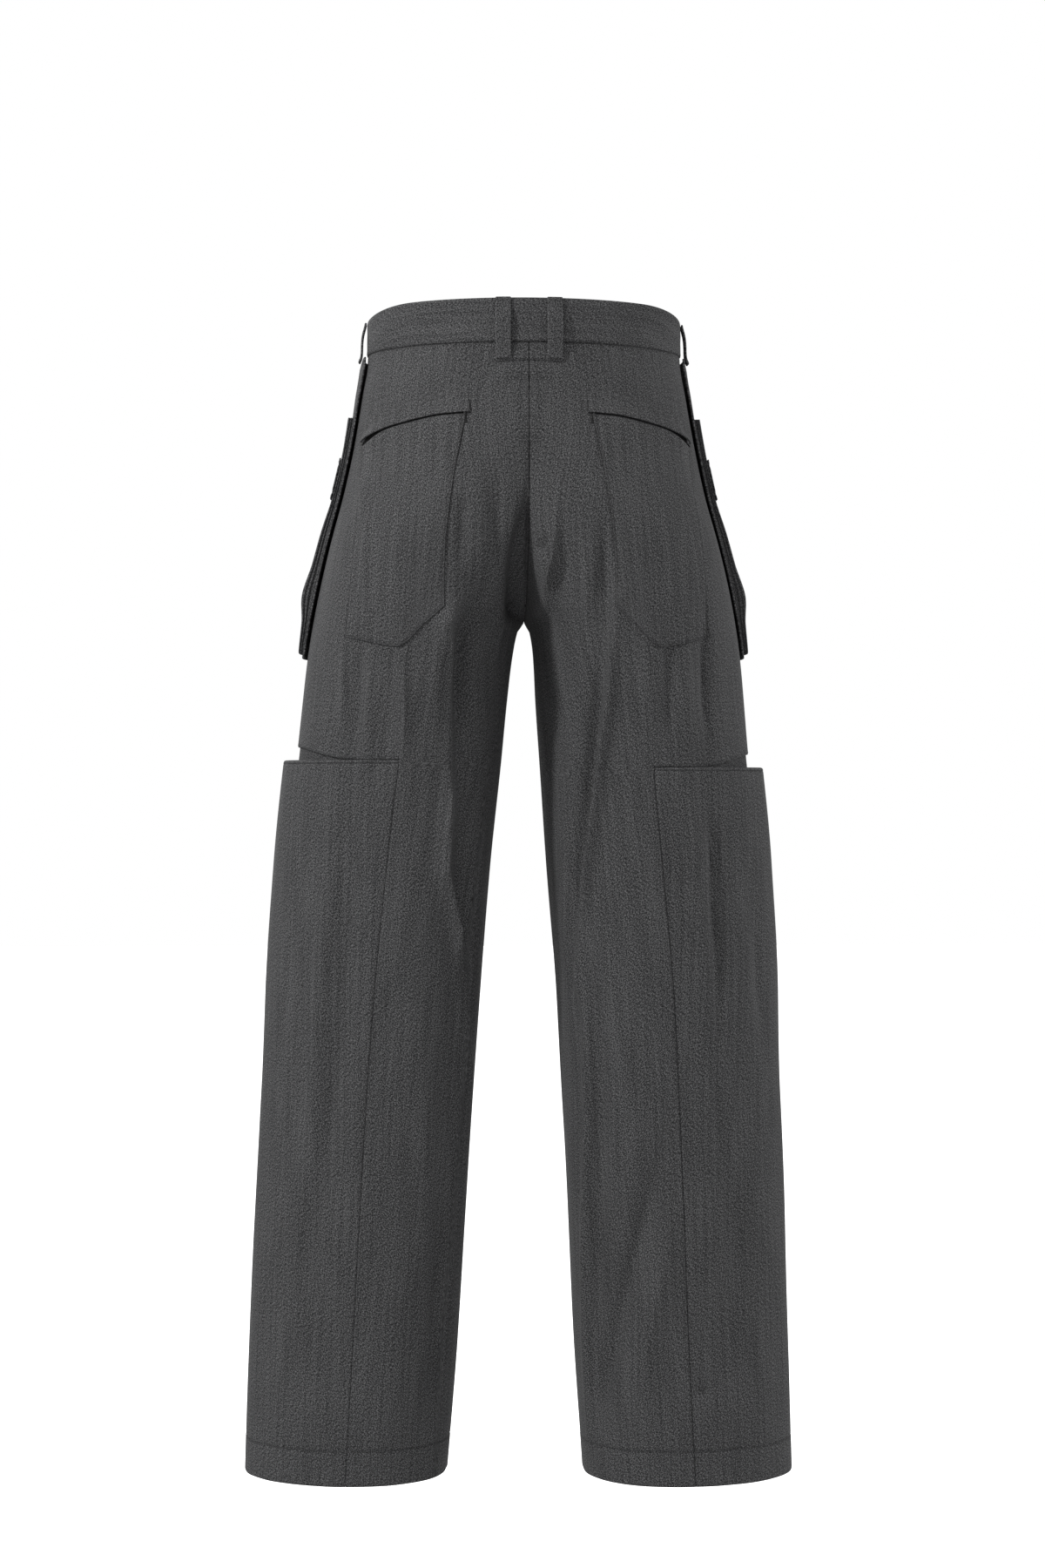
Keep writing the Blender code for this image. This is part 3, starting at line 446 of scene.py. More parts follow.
def clothMaterial(name, shade=1.0):
    look = melange
    material, tree, shader = startMaterial(name)
    flat = addNode(tree, "ShaderNodeUVMap", {"uv_map": "cloth"}).outputs["UV"]

    def turned(wide, tall, shift, angle):
        spun = addNode(tree, "ShaderNodeMapping", Vector=flat, Rotation=(0, 0, math.radians(angle)))
        return addNode(tree, "ShaderNodeMapping", Vector=spun.outputs[0], Location=(shift, shift, 0),
                       Scale=(1 / wide, 1 / tall, 1)).outputs[0]

    def pattern(kind):
        *size, detail = look[kind]
        return addNode(tree, "ShaderNodeTexNoise", {"noise_dimensions": "2D"}, Vector=turned(*size),
                       Scale=1.0, Detail=detail).outputs[0]

    def calc(operation, a, b):
        return addNode(tree, "ShaderNodeMath", {"operation": operation}, in0=a, in1=b).outputs[0]

    mixed = calc("ADD", calc("MULTIPLY", pattern("fleck"), look["fleckShare"]),
                 calc("MULTIPLY", pattern("hair"), 1 - look["fleckShare"]))
    for kind in ("cloud", "streak"):
        away = calc("SUBTRACT", pattern(kind), 0.5)
        mixed = calc("ADD", mixed, calc("MULTIPLY", away, look[kind + "Share"]))
    ramp = addRamp(tree, mixed, [(at, [c * shade for c in colour]) for at, colour in look["stops"]])
    # painted shade: the colour is darkened along seams, edges and stitch grooves, where shade falls
    paintedShade = addNode(tree, "ShaderNodeAttribute", {"attribute_name": "paintedSeamShade"}).outputs["Fac"]
    kept = calc("SUBTRACT", 1.0, calc("MULTIPLY", paintedShade, look["seamShadeDepth"]))
    colour = addNode(tree, "ShaderNodeVectorMath", {"operation": "SCALE"}, in0=ramp, Scale=kept).outputs[0]
    size, angle = look["wale"] * 6, look["fleck"][3]
    ribs = addNode(tree, "ShaderNodeTexWave", {"wave_type": "BANDS", "bands_direction": "Y"},
                   Vector=turned(size, size, 0.0, angle), Scale=look["waves"], Distortion=look["waver"],
                   Detail=1.0).outputs["Fac"]
    relief = calc("ADD", calc("MULTIPLY", ribs, look["waleShare"]), mixed)
    bump = addNode(tree, "ShaderNodeBump", Height=relief, Strength=look["strength"], Distance=look["bump"])
    setInputs(tree, shader, Base_Color=colour, Normal=bump.outputs["Normal"], Roughness=look["roughness"],
              Specular_IOR_Level=look["shine"], Sheen_Weight=look["sheen"],
              Sheen_Roughness=look["sheenRoughness"])
    return material


# materials of two shades, mixed by a fine pattern
twoShades = {
    "thread": {"scale": 2600.0, "detail": 1.0, "swirl": 0.0, "roughness": 0.60,
               "stops": ((0.35, (0.020, 0.020, 0.021)), (0.65, (0.060, 0.060, 0.062)))},
    "buttonHorn": {"scale": 240.0, "detail": 4.0, "swirl": 1.4, "roughness": 0.32,
                   "stops": ((0.32, (0.009, 0.008, 0.008)), (0.72, (0.060, 0.050, 0.043)))},
}


def twoShadeMaterial(name):
    look = twoShades[name]
    material, tree, shader = startMaterial(name)
    where = addNode(tree, "ShaderNodeTexCoord").outputs["Object"]
    grain = addNode(tree, "ShaderNodeTexNoise", Vector=where, Scale=look["scale"], Detail=look["detail"],
                    Distortion=look["swirl"]).outputs[0]
    setInputs(tree, shader, Base_Color=addRamp(tree, grain, look["stops"]), Roughness=look["roughness"])
    return material


cloth = clothMaterial("melangeTwill")
liningCloth = clothMaterial("pocketTwill", 0.92)
# painted shade: a near-black copy of the cloth, for the unlit inside of a pocket's mouth
mouthShadeCloth = clothMaterial("pocketMouthShadeTwill", 0.20)
thread, horn = twoShadeMaterial("thread"), twoShadeMaterial("buttonHorn")
print("materials made")


# cloth pieces
def addObject(name, data):
    thing = bpy.data.objects.new(name, data)
    bpy.context.collection.objects.link(thing)
    return thing


def link(name, bm, material):
    mesh = bpy.data.meshes.new(name)
    bm.to_mesh(mesh)
    bm.free()
    mesh.shade_smooth()
    mesh.materials.append(material)
    piece = addObject(name, mesh)
    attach(piece, "root")
    return piece


def makeGrid(columns, rows, place, grain, tone):      # the weave runs straight along column "grain"
    bm = bmesh.new()
    bmesh.ops.create_grid(bm, x_segments=columns - 1, y_segments=rows - 1, size=0.5)
    # painted shade in seams and grooves, kept on each vertex for the cloth's material
    seamShadeLayer = bm.verts.layers.float.new("paintedSeamShade")
    spot, table = {}, {}
    for v in bm.verts:
        i, j = round((v.co.x + 0.5) * (columns - 1)), round((v.co.y + 0.5) * (rows - 1))
        spot[v], table[i, j] = (i, j), v
        v.co = place(i, j)
        v[seamShadeLayer] = tone(i, j) if tone else 0.0
    across, down = {}, {}
    for j in range(rows):      # lengths along the cloth, so that the weave keeps its size
        run = 0.0
        for i in range(columns):
            run += (table[i, j].co - table[i - 1, j].co).length if i else 0
            across[i, j] = run
        centre = across[grain, j]
        for i in range(columns):
            across[i, j] -= centre
    for i in range(columns):
        run = -table[i, 0].co.z
        for j in range(rows):
            run += (table[i, j].co - table[i, j - 1].co).length if j else 0
            down[i, j] = run
    layer = bm.loops.layers.uv.new("cloth")
    for face in bm.faces:
        for loop in face.loops:
            loop[layer].uv = (across[spot[loop.vert]], -down[spot[loop.vert]])
    return bm, spot, table


shellLook = {"rounding": 0.45, "segments": 2, "angle": 60}


def clothGrid(name, columns, rows, place, material, thickness, flip=False, keep=None, grain=0, tone=None):
    bm, spot, _ = makeGrid(columns, rows, place, grain, tone)
    if keep:
        lost = [f for f in bm.faces if not keep(*(min(spot[v][k] for v in f.verts) for k in (0, 1)))]
        bmesh.ops.delete(bm, geom=lost, context="FACES")
    if flip:
        bmesh.ops.reverse_faces(bm, faces=bm.faces)
    piece = link(name, bm, material)
    shell = piece.modifiers.new("cloth", "SOLIDIFY")
    shell.thickness, shell.offset = thickness, -1
    soft = piece.modifiers.new("edges", "BEVEL")
    soft.width, soft.segments = thickness * shellLook["rounding"], shellLook["segments"]
    soft.limit_method, soft.angle_limit = "ANGLE", math.radians(shellLook["angle"])
    return piece


# a piece's edge dips into its seam, and the allowance is turned in
edgeLook = {"steps": (0.0, 0.0005, 0.0010, 0.0018, 0.0034), "dip": 0.0006, "width": 0.0014,
            "allowance": (-0.0090, -0.0035), "tone": 0.0006}


# painted shade along a seam: strongest at the piece's edge, gone within about a millimetre
def paintedSeamShade(distance, strength):
    return strength * mound(max(distance, 0.0), 0.0, edgeLook["tone"])


def dipAt(distance, depth=edgeLook["dip"]):
    return min(distance, 0) - depth * (1 - smooth(distance / edgeLook["width"]))


def spreadColumns(count, turnStart=True):
    steps, allowance = edgeLook["steps"], edgeLook["allowance"]
    first = [("start", d) for d in (allowance if turnStart else ()) + steps]
    last = [("end", d) for d in allowance + steps]
    return first + [("mid", f) for f in between(0, 1, count)] + last[::-1]


def acrossPanel(leg, z, first, last, kind, value):
    way = 1 if last > first else -1
    inside = value + seam / 2 if value >= 0 else 0.0      # the turned-in edges of two panels meet
    if kind == "start":
        return placeNear(leg, first, z, way * inside), value
    if kind == "end":
        return placeNear(leg, last, z, -way * inside), value
    margin = edgeLook["steps"][-1]
    low = placeNear(leg, first, z, way * margin)
    high = placeNear(leg, last, z, -way * margin)
    return lerp(low, high, value), margin


stitchLook = {"pitch": 0.0031, "fill": 0.0025 / 0.0031, "width": 0.00062, "height": 0.00046, "probe": 0.001}


# makePoint(f, off) gives the point at a share f of the line, moved outwards by off
def sewAlong(bm, makePoint, steps, pitch=stitchLook["pitch"], width=stitchLook["width"]):
    path, lengths = [], [0.0]
    for k in range(steps + 1):
        low, high = (makePoint(k / steps, off) for off in (0.0, stitchLook["probe"]))
        path.append((low, (high - low).normalized()))
    for (p, _), (q, _) in zip(path, path[1:]):
        lengths.append(lengths[-1] + (q - p).length)
    count = max(int(lengths[-1] / pitch), 1)
    i = 0
    for k in range(count):
        at = (k + 0.5) * lengths[-1] / count
        while i < len(path) - 2 and lengths[i + 1] < at:
            i += 1
        f = (at - lengths[i]) / max(lengths[i + 1] - lengths[i], 1e-9)
        point, out = path[i][0].lerp(path[i + 1][0], f), path[i][1].lerp(path[i + 1][1], f).normalized()
        along = (path[i + 1][0] - path[i][0]).normalized() * stitchLook["fill"] * pitch / 2
        across = out.cross(along).normalized() * width / 2
        turn = Matrix((along, across, out * stitchLook["height"] / 2)).transposed().to_4x4()
        bmesh.ops.create_icosphere(bm, subdivisions=1, radius=1, matrix=Matrix.Translation(point) @ turn)


def finishStitches(name, bm):
    link(name, bm, thread)


# rows over the hem, as heights over its line of stitches or its lower edge, with how far they stand off
hem = {
    "depth": 0.0320, "radius": 0.00185, "around": 4, "groove": (-0.00051, -0.00029),
    "seam": ((0.004, 0.0), (0.0015, -0.0001), (0.0006, -0.0004), (-0.0004, -0.0003), (-0.0020, 0.0001)),
    "outside": (0.024, 0.018, 0.012, 0.006, 0.003), "outsideOff": 0.0001,
    "inside": (0.005, 0.012, 0.020, 0.030),
    "stitchDrop": 0.0002, "stitchGap": 0.004, "stitchOff": 0.0001,
}


def inGroove(off):
    return hem["groove"][0] < off < hem["groove"][1]


def turnedEdge(z, way):      # half a round over an edge at z: 1 for a lower edge, -1 for an upper one
    radius, angles = hem["radius"], [math.pi * k / hem["around"] for k in range(hem["around"] + 1)]
    return [(z + way * radius * (1 - math.sin(a)), radius * (way * math.cos(a) - 1)) for a in angles]


def hemRows(leg):
    z = hemLine[leg]
    rows = [(z + hem["depth"] + d, off) for d, off in hem["seam"]]
    rows += [(z + d, hem["outsideOff"]) for d in hem["outside"]] + turnedEdge(z, 1)
    return rows + [(z + d, -2 * hem["radius"]) for d in hem["inside"]]


# legs
legPiece = {
    "columns": 46, "waistRows": 38, "waistDepth": 0.050, "thighRows": 76, "lowRows": 130, "thick": 0.0016,
    "top": (-0.006, 0.0, 0.0006, 0.0014, 0.0028), "topDip": 0.0005, "tuck": 0.0002, "centreDip": 0.0003,
    "edge": (0.0026, 0.0013, 0.0006, 0.0, -0.0009, -0.0019), "edgeDip": 0.0006, "apart": 0.00005,
    "seamStart": 0.002, "seamFade": 0.004, "stitchEnds": 0.01, "stitchOver": 0.0024,
    "guess": {"top": -0.02, "waist": -0.04, "thigh": -0.15, "low": -0.6, "hem": -0.6},
    "flat": {"back": (0.345, 1.090), "front": (0.335, 1.080)}, "area": {"back": 0.252, "front": 0.245},
    # painted shade in the centre seam, at each leg's panel seam, under the waistband and in the hem's groove
    "seamShades": {"centre": 0.18, "left": 0.14, "right": 0.36, "band": 0.50, "hem": 0.24},
}


def legRows(leg):
    count = legPiece["waistRows"]
    rows = [("top", d) for d in legPiece["top"]]
    rows += [("waist", (k + 1) / count) for k in range(count)]
    rows += [("thigh", f) for f in between(0, 1, legPiece["thighRows"])]
    rows += [("edge", d) for d in legPiece["edge"]]
    rows += [("low", f) for f in between(0, 1, legPiece["lowRows"])]
    return rows + [("hem", *row) for row in hemRows(leg)]


# the back or front of a leg, which below the side pocket's mouth ends at the panel's seam
def makeLegHalf(leg, half):
    centre, middle = (0.0, panelStart) if half == "back" else (1.0, 1 - panelStart)
    inner = spreadColumns(legPiece["columns"])
    columns = [(0, *c) for c in inner] + [(1, *c) for c in spreadColumns(legPiece["columns"], False)]
    cut = len(inner) - 1
    rows = legRows(leg)
    edgeRow = next(i for i, row in enumerate(rows) if row[0] == "edge")
    mouthRow = edgeRow + len(legPiece["edge"]) - 1
    mouth, lip, hemTop = mouthLine[leg], legPiece["edge"][0], hemRows(leg)[0][0]
    apart = legPiece["apart"] * (1 if half == "back" else -1)

    def place(i, j):
        part, kind, value = columns[i]
        row = rows[j]
        ends = (centre, middle) if part == 0 else (middle, 0.5)
        z, off = legPiece["guess"].get(row[0], mouth), 0.0
        for _ in range(2):      # the place round the leg follows from the height, and the height from it
            t, distance = acrossPanel(leg, z, *ends, kind, value)
            top = waistHeight(waistSeam, t) - seam
            edge = mouth + mouthRise(t)
            if row[0] == "top":
                z, off = top - row[1], legPiece["tuck"] if row[1] < 0 else dipAt(row[1], legPiece["topDip"])
            elif row[0] == "waist":
                z = top - lerp(legPiece["top"][-1], legPiece["waistDepth"], row[1])
            elif row[0] == "thigh":
                z = lerp(top - legPiece["waistDepth"], edge + lip, row[1])
            elif row[0] == "edge" and part == 0:
                z = lerp(mouth + lip, mouth - lip, (j - edgeRow) / (mouthRow - edgeRow))
            elif row[0] == "edge":
                z, off = edge + max(row[1], 0), dipAt(row[1], legPiece["edgeDip"])
            elif row[0] == "low":
                z = lerp(mouth - lip, hemTop, row[1])
            else:
                z, off = row[1], row[2]
        if (part, kind) == (0, "start"):
            off += dipAt(distance, legPiece["centreDip"])
        elif (part, kind) == (1, "end"):
            off += dipAt(distance)
        elif (part, kind) == (0, "end"):      # the panel's seam starts below the mouth
            if distance < 0 and j <= mouthRow:
                t = placeNear(leg, t, z, apart if distance == edgeLook["allowance"][0] else -apart)
            off += dipAt(distance) * smooth((mouth - legPiece["seamStart"] - z) / legPiece["seamFade"])
        point = bodyPoint(leg, t, z, off)
        if (part, kind) == (0, "start") and distance < 0 and z > bodyForm["crotch"]:
            point.x = 0.0      # the two legs' turned-in edges meet
        return point

    # painted shade at the leg's seams, under the waistband and in the hem's groove
    def tone(i, j):
        (part, kind, distance), row, seamShades = columns[i], rows[j], legPiece["seamShades"]
        total = 0.0
        if (part, kind) in ((0, "start"), (1, "end")):
            total = paintedSeamShade(distance, seamShades["centre"])
        elif (part, kind) == (0, "end") and j > mouthRow:
            total = paintedSeamShade(distance, seamShades[leg])
        if row[0] == "top":
            total = max(total, paintedSeamShade(row[1], seamShades["band"]))
        elif row[0] == "hem" and inGroove(row[2]):
            total = max(total, seamShades["hem"])
        return total

    piece = clothGrid(f"{half}Leg_{leg}", len(columns), len(rows), place, cloth, legPiece["thick"],
                      flip=(leg == "right") != (half == "front"),
                      keep=lambda i, j: j < mouthRow or i < cut, grain=cut, tone=tone)
    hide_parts(f"{half}_{leg}")


for leg in ("left", "right"):
    for half in ("back", "front"):
        makeLegHalf(leg, half)
print("legs made")

# side panels, whose tops stand off as the side pockets' mouths
sidePanel = {
    "standOff": {"left": 0.0115, "right": 0.0125}, "fade": 0.30, "curve": 2.4, "columns": 64, "rows": 130,
    "thick": 0.0016, "flat": (0.300, 0.720), "area": 0.205, "turnedIn": (0.024, 0.016, 0.008, 0.003),
    "groove": ((0.0007, 0.0), (0.0003, -0.0004), (0.0, -0.0005), (-0.0004, -0.0004), (-0.0009, 0.0),
               (-0.003, 0.0), (-0.007, 0.0), (-0.012, 0.0)),
    "edgeStitch": 0.0029, "stitchEnds": 0.012, "stitchOff": -0.0001,
}


def standOff(leg, t, z):
    down = smooth((mouthLine[leg] - z) / sidePanel["fade"])
    over = math.sin(math.pi * (t - panelStart) / (1 - 2 * panelStart))
    return sidePanel["standOff"][leg] * (1 - down) * max(over, 0.0) ** sidePanel["curve"]


def makeSidePanel(leg):
    columns = spreadColumns(sidePanel["columns"])
    top = mouthLine[leg] - seam
    rows = [(top - d, -2 * hem["radius"]) for d in sidePanel["turnedIn"]] + turnedEdge(top, -1)
    rows += [(top - sidePanel["edgeStitch"] + d, off) for d, off in sidePanel["groove"]]
    rows += [(z, 0.0) for z in between(rows[-1][0], hemRows(leg)[0][0], sidePanel["rows"])] + hemRows(leg)

    def place(i, j):
        z, off = rows[j]
        t, distance = acrossPanel(leg, z, panelStart, 1 - panelStart, *columns[i])
        if columns[i][0] != "mid":
            off += dipAt(distance)
        return bodyPoint(leg, t, z, standOff(leg, t, z) + off)

    # painted shade at the panel's seams and in its hem's groove
    def tone(i, j):
        kind, distance = columns[i]
        stitched = legPiece["seamShades"]["hem"] if inGroove(rows[j][1]) else 0.0
        return max(stitched, 0.0 if kind == "mid" else paintedSeamShade(distance, legPiece["seamShades"][leg]))

    piece = clothGrid(f"sidePanel_{leg}", len(columns), len(rows), place, cloth, sidePanel["thick"],
                      flip=leg == "right", grain=len(columns) // 2, tone=tone)
    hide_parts(f"side_panel_{leg}")


def sewHem(leg):      # the hem's turned edge all round, and both edges of the side pocket's mouth
    bm = bmesh.new()
    seams = (0.0, panelStart, 1 - panelStart, 1.0)
    for first, last in zip(seams, seams[1:]):
        def hemPoint(f, off):
            t = lerp(first + hem["stitchGap"], last - hem["stitchGap"], f)
            z = hemLine[leg] + hem["depth"] - hem["stitchDrop"]
            return bodyPoint(leg, t, z, off + hem["stitchOff"])

        sewAlong(bm, hemPoint, 90)

    def panelPoint(f, off):
        z = mouthLine[leg] - seam - sidePanel["edgeStitch"]
        t = lerp(panelStart + sidePanel["stitchEnds"], 1 - panelStart - sidePanel["stitchEnds"], f)
        return bodyPoint(leg, t, z, standOff(leg, t, z) + off + sidePanel["stitchOff"])

    def legPoint(f, off):
        t = lerp(panelStart + legPiece["stitchEnds"], 1 - panelStart - legPiece["stitchEnds"], f)
        return bodyPoint(leg, t, mouthLine[leg] + mouthRise(t) + legPiece["stitchOver"], off)

    sewAlong(bm, panelPoint, 120)
    sewAlong(bm, legPoint, 120)
    finishStitches(f"hemStitches_{leg}", bm)


facing = {"depth": 0.055, "behind": 0.0022, "columns": 44, "rows": 12, "start": 0.3125, "above": 0.006,
          "thick": 0.0012, "flat": (0.235, 0.070)}


def makeFacing(leg):
    def place(i, j):
        t = lerp(facing["start"], 1 - facing["start"], i / (facing["columns"] - 1))
        top = mouthLine[leg] + mouthRise(t) + facing["above"]
        z = lerp(top, mouthLine[leg] - facing["depth"], j / (facing["rows"] - 1))
        return bodyPoint(leg, t, z, -facing["behind"])

    piece = clothGrid(f"pocketFacing_{leg}", facing["columns"], facing["rows"], place, liningCloth,
                      facing["thick"], flip=leg == "right", grain=facing["columns"] // 2)
    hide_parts(f"side_facing_{leg}")


for leg in ("left", "right"):
    makeSidePanel(leg)
    makeFacing(leg)
    sewHem(leg)
print("side panels made")

# waistband
band = {
    # painted shade at the band's foot is set by its tone
    "columns": 260, "outer": 0.0008, "inner": 0.0018, "endX": 0.018, "flat": (0.795, 0.042), "tone": 0.55,
    # rows over its height: from its foot up, over its face, and from its top down the inside
    "foot": ((0.0, -0.0009), (0.0003, 0.0001), (0.0010, 0.0007), (0.0022, 0.0010), (0.0040, 0.0009)),
    "face": (0.2, 0.3, 0.4, 0.5, 0.6, 0.7, 0.8, 0.9),
    "top": ((0.0030, 0.0008), (0.0012, 0.0006), (0.0003, 0.0003), (0.0, -0.0005), (0.0003, -0.0013),
            (0.0012, -0.0018), (0.010, -0.0018)),
    "wave": 0.00045, "waves": ((0.055, 1.6, 5.2), (0.2, 4.0, 1.1)), "hiddenUv": -0.002,
}


def bandPlaces():
    meeting = placeAtX("right", 0.0, band["endX"], "front")
    start, end = (placeNear("right", meeting, 0.0, way * seam / 2) for way in (1, -1))
    # from the meeting point round the front of the left, the back and the right side back to it
    spans = (("right", start, 1.0), ("left", 1.0, 0.0), ("right", 0.0, end))
    total = sum(abs(b - a) for _, a, b in spans)
    places = []
    for k in range(band["columns"]):
        run = total * k / (band["columns"] - 1)
        for leg, a, b in spans:
            if run <= abs(b - a) + 1e-9:
                places.append((leg, a + run * (1 if b > a else -1)))
                break
            run -= abs(b - a)
    return places


def makeWaistband():
    places, inner = bandPlaces(), -band["inner"]
    profile = [("low", d, off) for d, off in band["foot"]]
    profile += [("share", f, band["outer"]) for f in band["face"]]
    profile += [("high", d, off) for d, off in band["top"]]
    profile += [("share", 0.5, inner), ("share", 0.2, inner), ("low", 0.0, inner)]
    profile.reverse()

    def place(i, j):
        leg, t = places[i]
        kind, value, off = profile[j]
        low, high = waistHeight(waistSeam, t), waistHeight(waistTop, t)
        height = {"low": low + value, "high": high - value, "share": lerp(low, high, value)}[kind]
        if kind == "share" and off > 0:      # the band isn't quite flat
            off += band["wave"] * sum(noise.noise(Vector((i * x, value * y, z))) for x, y, z in band["waves"])
        return bodyPoint(leg, t, height, off, fine=False)

    # painted shade along the band's foot, where it meets the legs
    def tone(i, j):
        kind, value, off = profile[j]
        return paintedSeamShade(value, band["tone"]) if kind == "low" and off > inner else 0.0

    columns, rows = len(places), len(profile)
    bm, spot, table = makeGrid(columns, rows, place, 0, tone)
    layer = bm.loops.layers.uv["cloth"]
    for face in bm.faces:      # the band is cut along the cloth, so its weave lies across the legs'
        for loop in face.loops:
            loop[layer].uv = (loop[layer].uv.y, loop[layer].uv.x)
    for i in range(columns - 1):      # close the band's underside
        face = bm.faces.new((table[i, 0], table[i, rows - 1], table[i + 1, rows - 1], table[i + 1, 0]))
        for loop in face.loops:
            loop[layer].uv = (band["hiddenUv"], spot[loop.vert][0] * band["flat"][0] / (columns - 1))
    for i in (0, columns - 1):
        bm.faces.new([table[i, j] for j in range(rows)])
    bmesh.ops.recalc_face_normals(bm, faces=bm.faces)
    piece = link("waistBand", bm, cloth)
    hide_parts("waistband")


makeWaistband()
print("waistband made")

# belt loops: how far each goes over the band's top and under its foot, and how far it stands off on the way
pulled = {
    "half": "front", "over": -0.0006, "under": 0.0052, "length": 0.0400,
    "offsets": (0.0011, 0.0023, 0.0036, 0.0043, 0.0046, 0.0047, 0.0052, 0.0069),
}
loops = {
    "back": {"x": 0.0227, "half": "back", "over": 0.0004, "under": 0.0148, "length": 0.0550,
             "offsets": (0.0011, 0.0011, 0.0030, 0.0038, 0.0038, 0.0032, 0.0016, 0.0006)},
    "side": {"x": 0, **pulled}, "front": {"x": 0.0850, **pulled},
    "width": 0.0138, "thick": 0.0018, "rows": 26, "columns": 9, "crown": 0.0002, "tacks": (0.035, 0.945),
    "tackInset": 0.0026, "tackPitch": 0.00095, "tackWidth": 0.0017,
}


def easeThrough(values, f):      # a smooth curve through evenly spaced values
    at = min(max(f, 0.0), 1.0) * (len(values) - 1)
    i = min(int(at), len(values) - 2)
    f = at - i
    a, b = values[i], values[i + 1]
    before, after = values[max(i - 1, 0)], values[min(i + 2, len(values) - 1)]
    return 0.5 * (2 * a + (b - before) * f + (2 * before - 5 * a + 4 * b - after) * f * f
                  + (3 * a - before - 3 * b + after) * f**3)


def makeLoop(kind, leg):
    look = loops[kind]

    def middleAt(z):
        return placeAtX(leg, z, look["x"], look["half"]) if look["x"] else 0.5

    top = waistHeight(waistTop, middleAt(0.0)) + look["over"]
    foot = waistHeight(waistSeam, middleAt(0.0)) - look["under"]

    def loopPoint(down, across, off):
        z = lerp(top, foot, down)
        t = placeRound(leg, middleAt(z), z, across, 4)
        return bodyPoint(leg, t, z, easeThrough(look["offsets"], down) + loops["thick"] + off, fine=False)

    def place(i, j):
        across = 2 * i / (loops["columns"] - 1) - 1
        crown = loops["crown"] * (1 - across * across)
        return loopPoint(j / (loops["rows"] - 1), across * loops["width"] / 2, crown)

    name = f"Loop_{kind}_{leg}"
    piece = clothGrid(name, loops["columns"], loops["rows"], place, cloth, loops["thick"],
                      flip=leg == "right", grain=loops["columns"] // 2)
    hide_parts(name.replace("Loop", "belt_loop"))
    bm = bmesh.new()
    for level in loops["tacks"]:
        def tack(f, off):
            return loopPoint(level, (f - 0.5) * (loops["width"] - loops["tackInset"]), off)

        sewAlong(bm, tack, 8, loops["tackPitch"], loops["tackWidth"])
    finishStitches(f"{name}_tacks", bm)


for leg in ("left", "right"):
    for kind in ("back", "side", "front"):
        makeLoop(kind, leg)
print("belt loops made")

# back pockets
backPocket = {
    "across": (0.00, 0.18, 0.44, 0.72, 1.00),
    "mouth": (-0.0786, -0.0796, -0.0840, -0.0895, -0.0990),
    "foot": (-0.2500, -0.2655, -0.2865, -0.2822, -0.2765),
    "sides": ((-0.0786, 0.0550, 0.1445), (-0.1050, 0.0600, 0.1465), (-0.1320, 0.0655, 0.1490),
              (-0.2080, 0.0745, 0.1570), (-0.2500, 0.0755, 0.1605), (-0.2870, 0.0755, 0.1650)),
    "columns": 34, "rows": 64, "thick": 0.0010, "flat": (0.118, 0.212), "area": 0.0222,
    "size": (0.088, 0.190),      # width and height, for distances from the edge
    "nearSide": (0.0, 0.005, 0.010, 0.017, 0.024, 0.036), "nearMouth": (0.0, 0.0015, 0.004, 0.008),
    "nearFoot": (0.975, 0.983, 0.989, 0.993, 0.9965, 1.0), "levelStep": 0.0005, "lift": 0.0014,
    "rim": (0.0011, 0.0009), "mouthRim": (0.0009, 0.004), "groove": 0.0005, "grooveAt": 0.0021,
    "grooveWidth": 0.0006, "toneWidth": 0.0005, "gape": 0.0026, "gapeAt": 0.86, "gapeWidth": 0.16,
    "gapeDown": 0.12, "gap": 0.0013, "gapEnds": (0.03, 0.02), "gapDown": 0.05,
    # painted shade: the pocket's edge and stitch groove are darkened by the first two values on the next line
    "wedge": 0.0034, "wedgeAt": 0.93, "wedgeWidth": 0.15, "tone": 0.90, "stitchShade": 0.35,
    "stitchInset": 0.024, "stitchSpan": (0.03, 0.989), "stitchOff": -0.0004,
    "tacks": (0.012, 0.985), "tackSpan": (-0.012, 0.018), "tackOff": 0.0022, "tackGape": 0.6,
    "tackPitch": 0.00085, "tackWidth": 0.0019,
    "inside": (-0.0045, 0.0100, 0.0004), "insideFlat": (0.094, 0.0145), "insideSpan": (0.004, 0.996),
    "insideColumns": 40, "insideRows": 6, "insideThick": 0.0005,
}


@lru_cache(maxsize=None)
def pocketSides(leg, level):
    z = level * backPocket["levelStep"]
    seat = min(max(z, backPocket["sides"][-1][0]), backPocket["sides"][0][0])
    return tuple(placeAtX(leg, seat, readTable(backPocket["sides"], k, seat)) for k in (1, 2))


def pocketPlace(leg, share, down):
    edges = [list(zip(backPocket["across"], backPocket[key])) for key in ("mouth", "foot")]
    mouth, foot = (readTable(rows, 1, share) for rows in edges)
    z = lerp(mouth, foot, down)
    at = z / backPocket["levelStep"]
    level = math.floor(at)
    low, high = pocketSides(leg, level), pocketSides(leg, level + 1)
    inner, outer = (lerp(a, b, at - level) for a, b in zip(low, high))
    return lerp(inner, outer, share), z


def pocketGape(share, down):      # how far the pocket bulges near its mouth
    pocket = backPocket
    near = 1 - smooth(down / pocket["gapeDown"])
    return pocket["gape"] * mound(share, pocket["gapeAt"], pocket["gapeWidth"]) * near


def mouthGap(share):      # height of the slit under the lip, widest near its outer end
    pocket = backPocket
    wedge = pocket["wedge"] * mound(share, pocket["wedgeAt"], pocket["wedgeWidth"])
    first, last = pocket["gapEnds"]
    return (pocket["gap"] + wedge) * smooth(share / first) * smooth((1 - share) / last)


